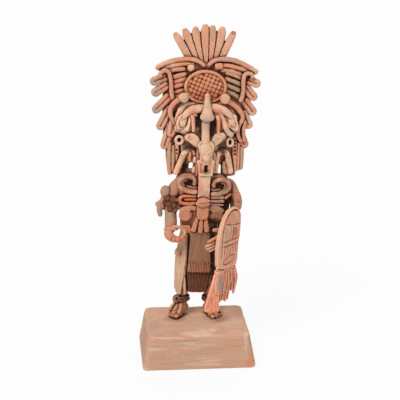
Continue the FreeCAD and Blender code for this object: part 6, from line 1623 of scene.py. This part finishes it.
class MATERIAL_OT_clay_finishes(ClayOperator, bpy.types.Operator):
    """Finishes: the clay materials, and the node trees that roll coils, set beads and lay pads"""
    bl_idname = "clay.finishes"
    bl_label = "Clay finishes"

    def execute(self, context):
        for build in (build_grain, build_wash, build_patina_and_shade,
                      build_coil_tree, build_bead_tree, build_pad_tree):
            build()
        own = colours()
        for name, colour, washes, *more in (
                ("base", own.base, ("orange", "cream", "grey"), 1.1, 110.0, 1.0, (0.22, 1.1, 2.4)),
                ("body", own.body, ("pink", "cream", "rust"), 0.55, 60.0),
                ("pink", own.flesh, ("pink", "cream", "orange"), 0.8, 70.0),
                ("crest", own.crest, ("pink", "cream", "grey"), 0.7, 75.0),
                ("feathers", own.feathers, ("pink", "cream", "orange"), 0.8, 80.0),
                ("plaque", own.plaque, ("orange", "cream", "pink"), 0.7, 110.0, 0.6),
                ("mask", own.mask, ("pink", "cream", "grey"), 0.6, 90.0),
                ("strip", own.strip, ("pink", "cream", "orange"), 0.7, 80.0),
                ("belt", own.belt, ("pink", "cream", "orange"), 0.6, 80.0),
                ("apron", own.apron, ("body", "pink", "grey"), 0.45, 60.0),
                ("skirt", own.skirt, ("apron", "rust", "dark"), 0.5, 70.0),
                ("cloak", own.cloak, ("cream", "pink", "grey"), 0.6, 50.0),
                ("shield", own.shield, ("pink", "cream", "orange"), 0.8, 85.0, 0.75),
                ("salmon", own.salmon, ("orange", "pink", "cream"), 0.7, 80.0, 0.6),
                ("dark", own.dark, ("grey", "rust", "body"), 0.5, 90.0)):
            clay_finish("clay_" + name, colour, washes, *more)
        return {"FINISHED"}


# Stage


def glowing(net, shader_in_room, glow_kind, output_kind, share=1.0):
    """Ends a tree: one shader for the room's light, and plain white where the camera looks."""
    ray = net.add("ShaderNodeLightPath", out="Is Camera Ray")
    indirect = ray.calc("MAXIMUM", ray.also("Is Glossy Ray"), ray.also("Is Transmission Ray"))
    seen = ray.calc("MAXIMUM", ray, indirect)
    white = net.add(glow_kind, {"Color": (1, 1, 1, 1), "Strength": 1.0})
    both = net.add("ShaderNodeMixShader", {0: seen * share, 1: shader_in_room, 2: white})
    net.add(output_kind, {"Surface": both})


class SCENE_OT_stage(ClayOperator, bpy.types.Operator):
    """Stage: a pale floor, soft light from the upper left, and the camera"""
    bl_idname = "clay.stage"
    bl_label = "Stage"

    def execute(self, context):
        scene = context.scene
        stage = scene.clay_stage
        half, share_of_glow = 9, 0.91
        corners = np.array([(-half, -half, 0), (half, -half, 0), (half, half, 0), (-half, half, 0)], float)
        floor = show("floor", plain_mesh("floor", corners, [(0, 1, 2, 3)]))
        pale = bpy.data.materials.new("pale_floor")
        world = scene.world = bpy.data.worlds.new("studio")
        for owner in (pale, world):
            owner.use_nodes = True
            owner.node_tree.nodes.clear()
        net = Net(pale.node_tree)
        cloth = net.add("ShaderNodeBsdfDiffuse", {"Color": (0.86, 0.86, 0.86, 1)})
        glowing(net, cloth, "ShaderNodeEmission", "ShaderNodeOutputMaterial", share_of_glow)
        floor.data.materials.append(pale)
        net = Net(world.node_tree)
        room = net.add("ShaderNodeBackground", {"Color": (1, 0.99, 0.97, 1), "Strength": stage.sky})
        glowing(net, room, "ShaderNodeBackground", "ShaderNodeOutputWorld")

        for name, strength, way, spread in (("main_light", stage.key, (-0.6, -0.85, 1.35), 26),
                                            ("fill_light", stage.fill, (1.0, -1.0, 0.45), 60),
                                            ("back_light", stage.back, (0.3, 1.0, 1.0), 60)):
            lamp = bpy.data.lights.new(name, "SUN")
            lamp.energy = strength
            lamp.angle = math.radians(spread)
            show(name, lamp).rotation_euler = Vector(way).to_track_quat("Z", "Y").to_euler()

        lens = bpy.data.cameras.new("camera")
        lens.lens = stage.lens
        lens.sensor_width = 36
        lens.shift_x = 0.01
        lens.shift_y = -0.015
        lens.clip_end = 60
        camera = scene.camera = show("camera", lens)
        level = stage.reach * math.cos(stage.rise)
        camera.location = (level * math.sin(stage.yaw), -level * math.cos(stage.yaw),
                           stage.aim + stage.reach * math.sin(stage.rise))
        camera.rotation_euler = Euler((math.radians(90) - stage.rise, 0, stage.yaw))
        scene.view_settings.view_transform = "Standard"
        return {"FINISHED"}


STEPS = (
    MATERIAL_OT_clay_finishes, OBJECT_OT_base_block, OBJECT_OT_legs_and_feet, OBJECT_OT_trunk,
    OBJECT_OT_skirt_and_apron, OBJECT_OT_cloak, OBJECT_OT_belt_and_knot, OBJECT_OT_collar,
    OBJECT_OT_right_arm,
    OBJECT_OT_left_arm, OBJECT_OT_shield, OBJECT_OT_headdress, OBJECT_OT_plaque, OBJECT_OT_great_mask,
    OBJECT_OT_small_mask, OBJECT_OT_ear_ornaments, OBJECT_OT_age_and_shade_surface, SCENE_OT_stage,
)


class VIEW3D_PT_clay_figure(bpy.types.Panel):
    bl_label = "Clay rain god"
    bl_space_type = "VIEW_3D"
    bl_region_type = "UI"
    bl_category = "Clay figure"

    def draw(self, context):
        column = self.layout.column(align=True)
        for group in (context.scene.clay_settings, context.scene.clay_colours, context.scene.clay_stage):
            for key in group.__annotations__:
                column.prop(group, key)
            column.separator()
        for step in STEPS:
            column.operator(step.bl_idname)


GROUPS = {"clay_settings": ClaySettings, "clay_colours": ClayColours, "clay_stage": StageSettings}
CLASSES = (*GROUPS.values(), *STEPS, VIEW3D_PT_clay_figure)


def register():
    for each in CLASSES:
        bpy.utils.register_class(each)
    for name, group in GROUPS.items():
        setattr(bpy.types.Scene, name, PointerProperty(type=group))


def unregister():
    for name in GROUPS:
        delattr(bpy.types.Scene, name)
    for each in reversed(CLASSES):
        bpy.utils.unregister_class(each)


def main():
    register()
    for step in STEPS:
        area, name = step.bl_idname.split(".")
        getattr(getattr(bpy.ops, area), name)()


if __name__ == "__main__":
    main()
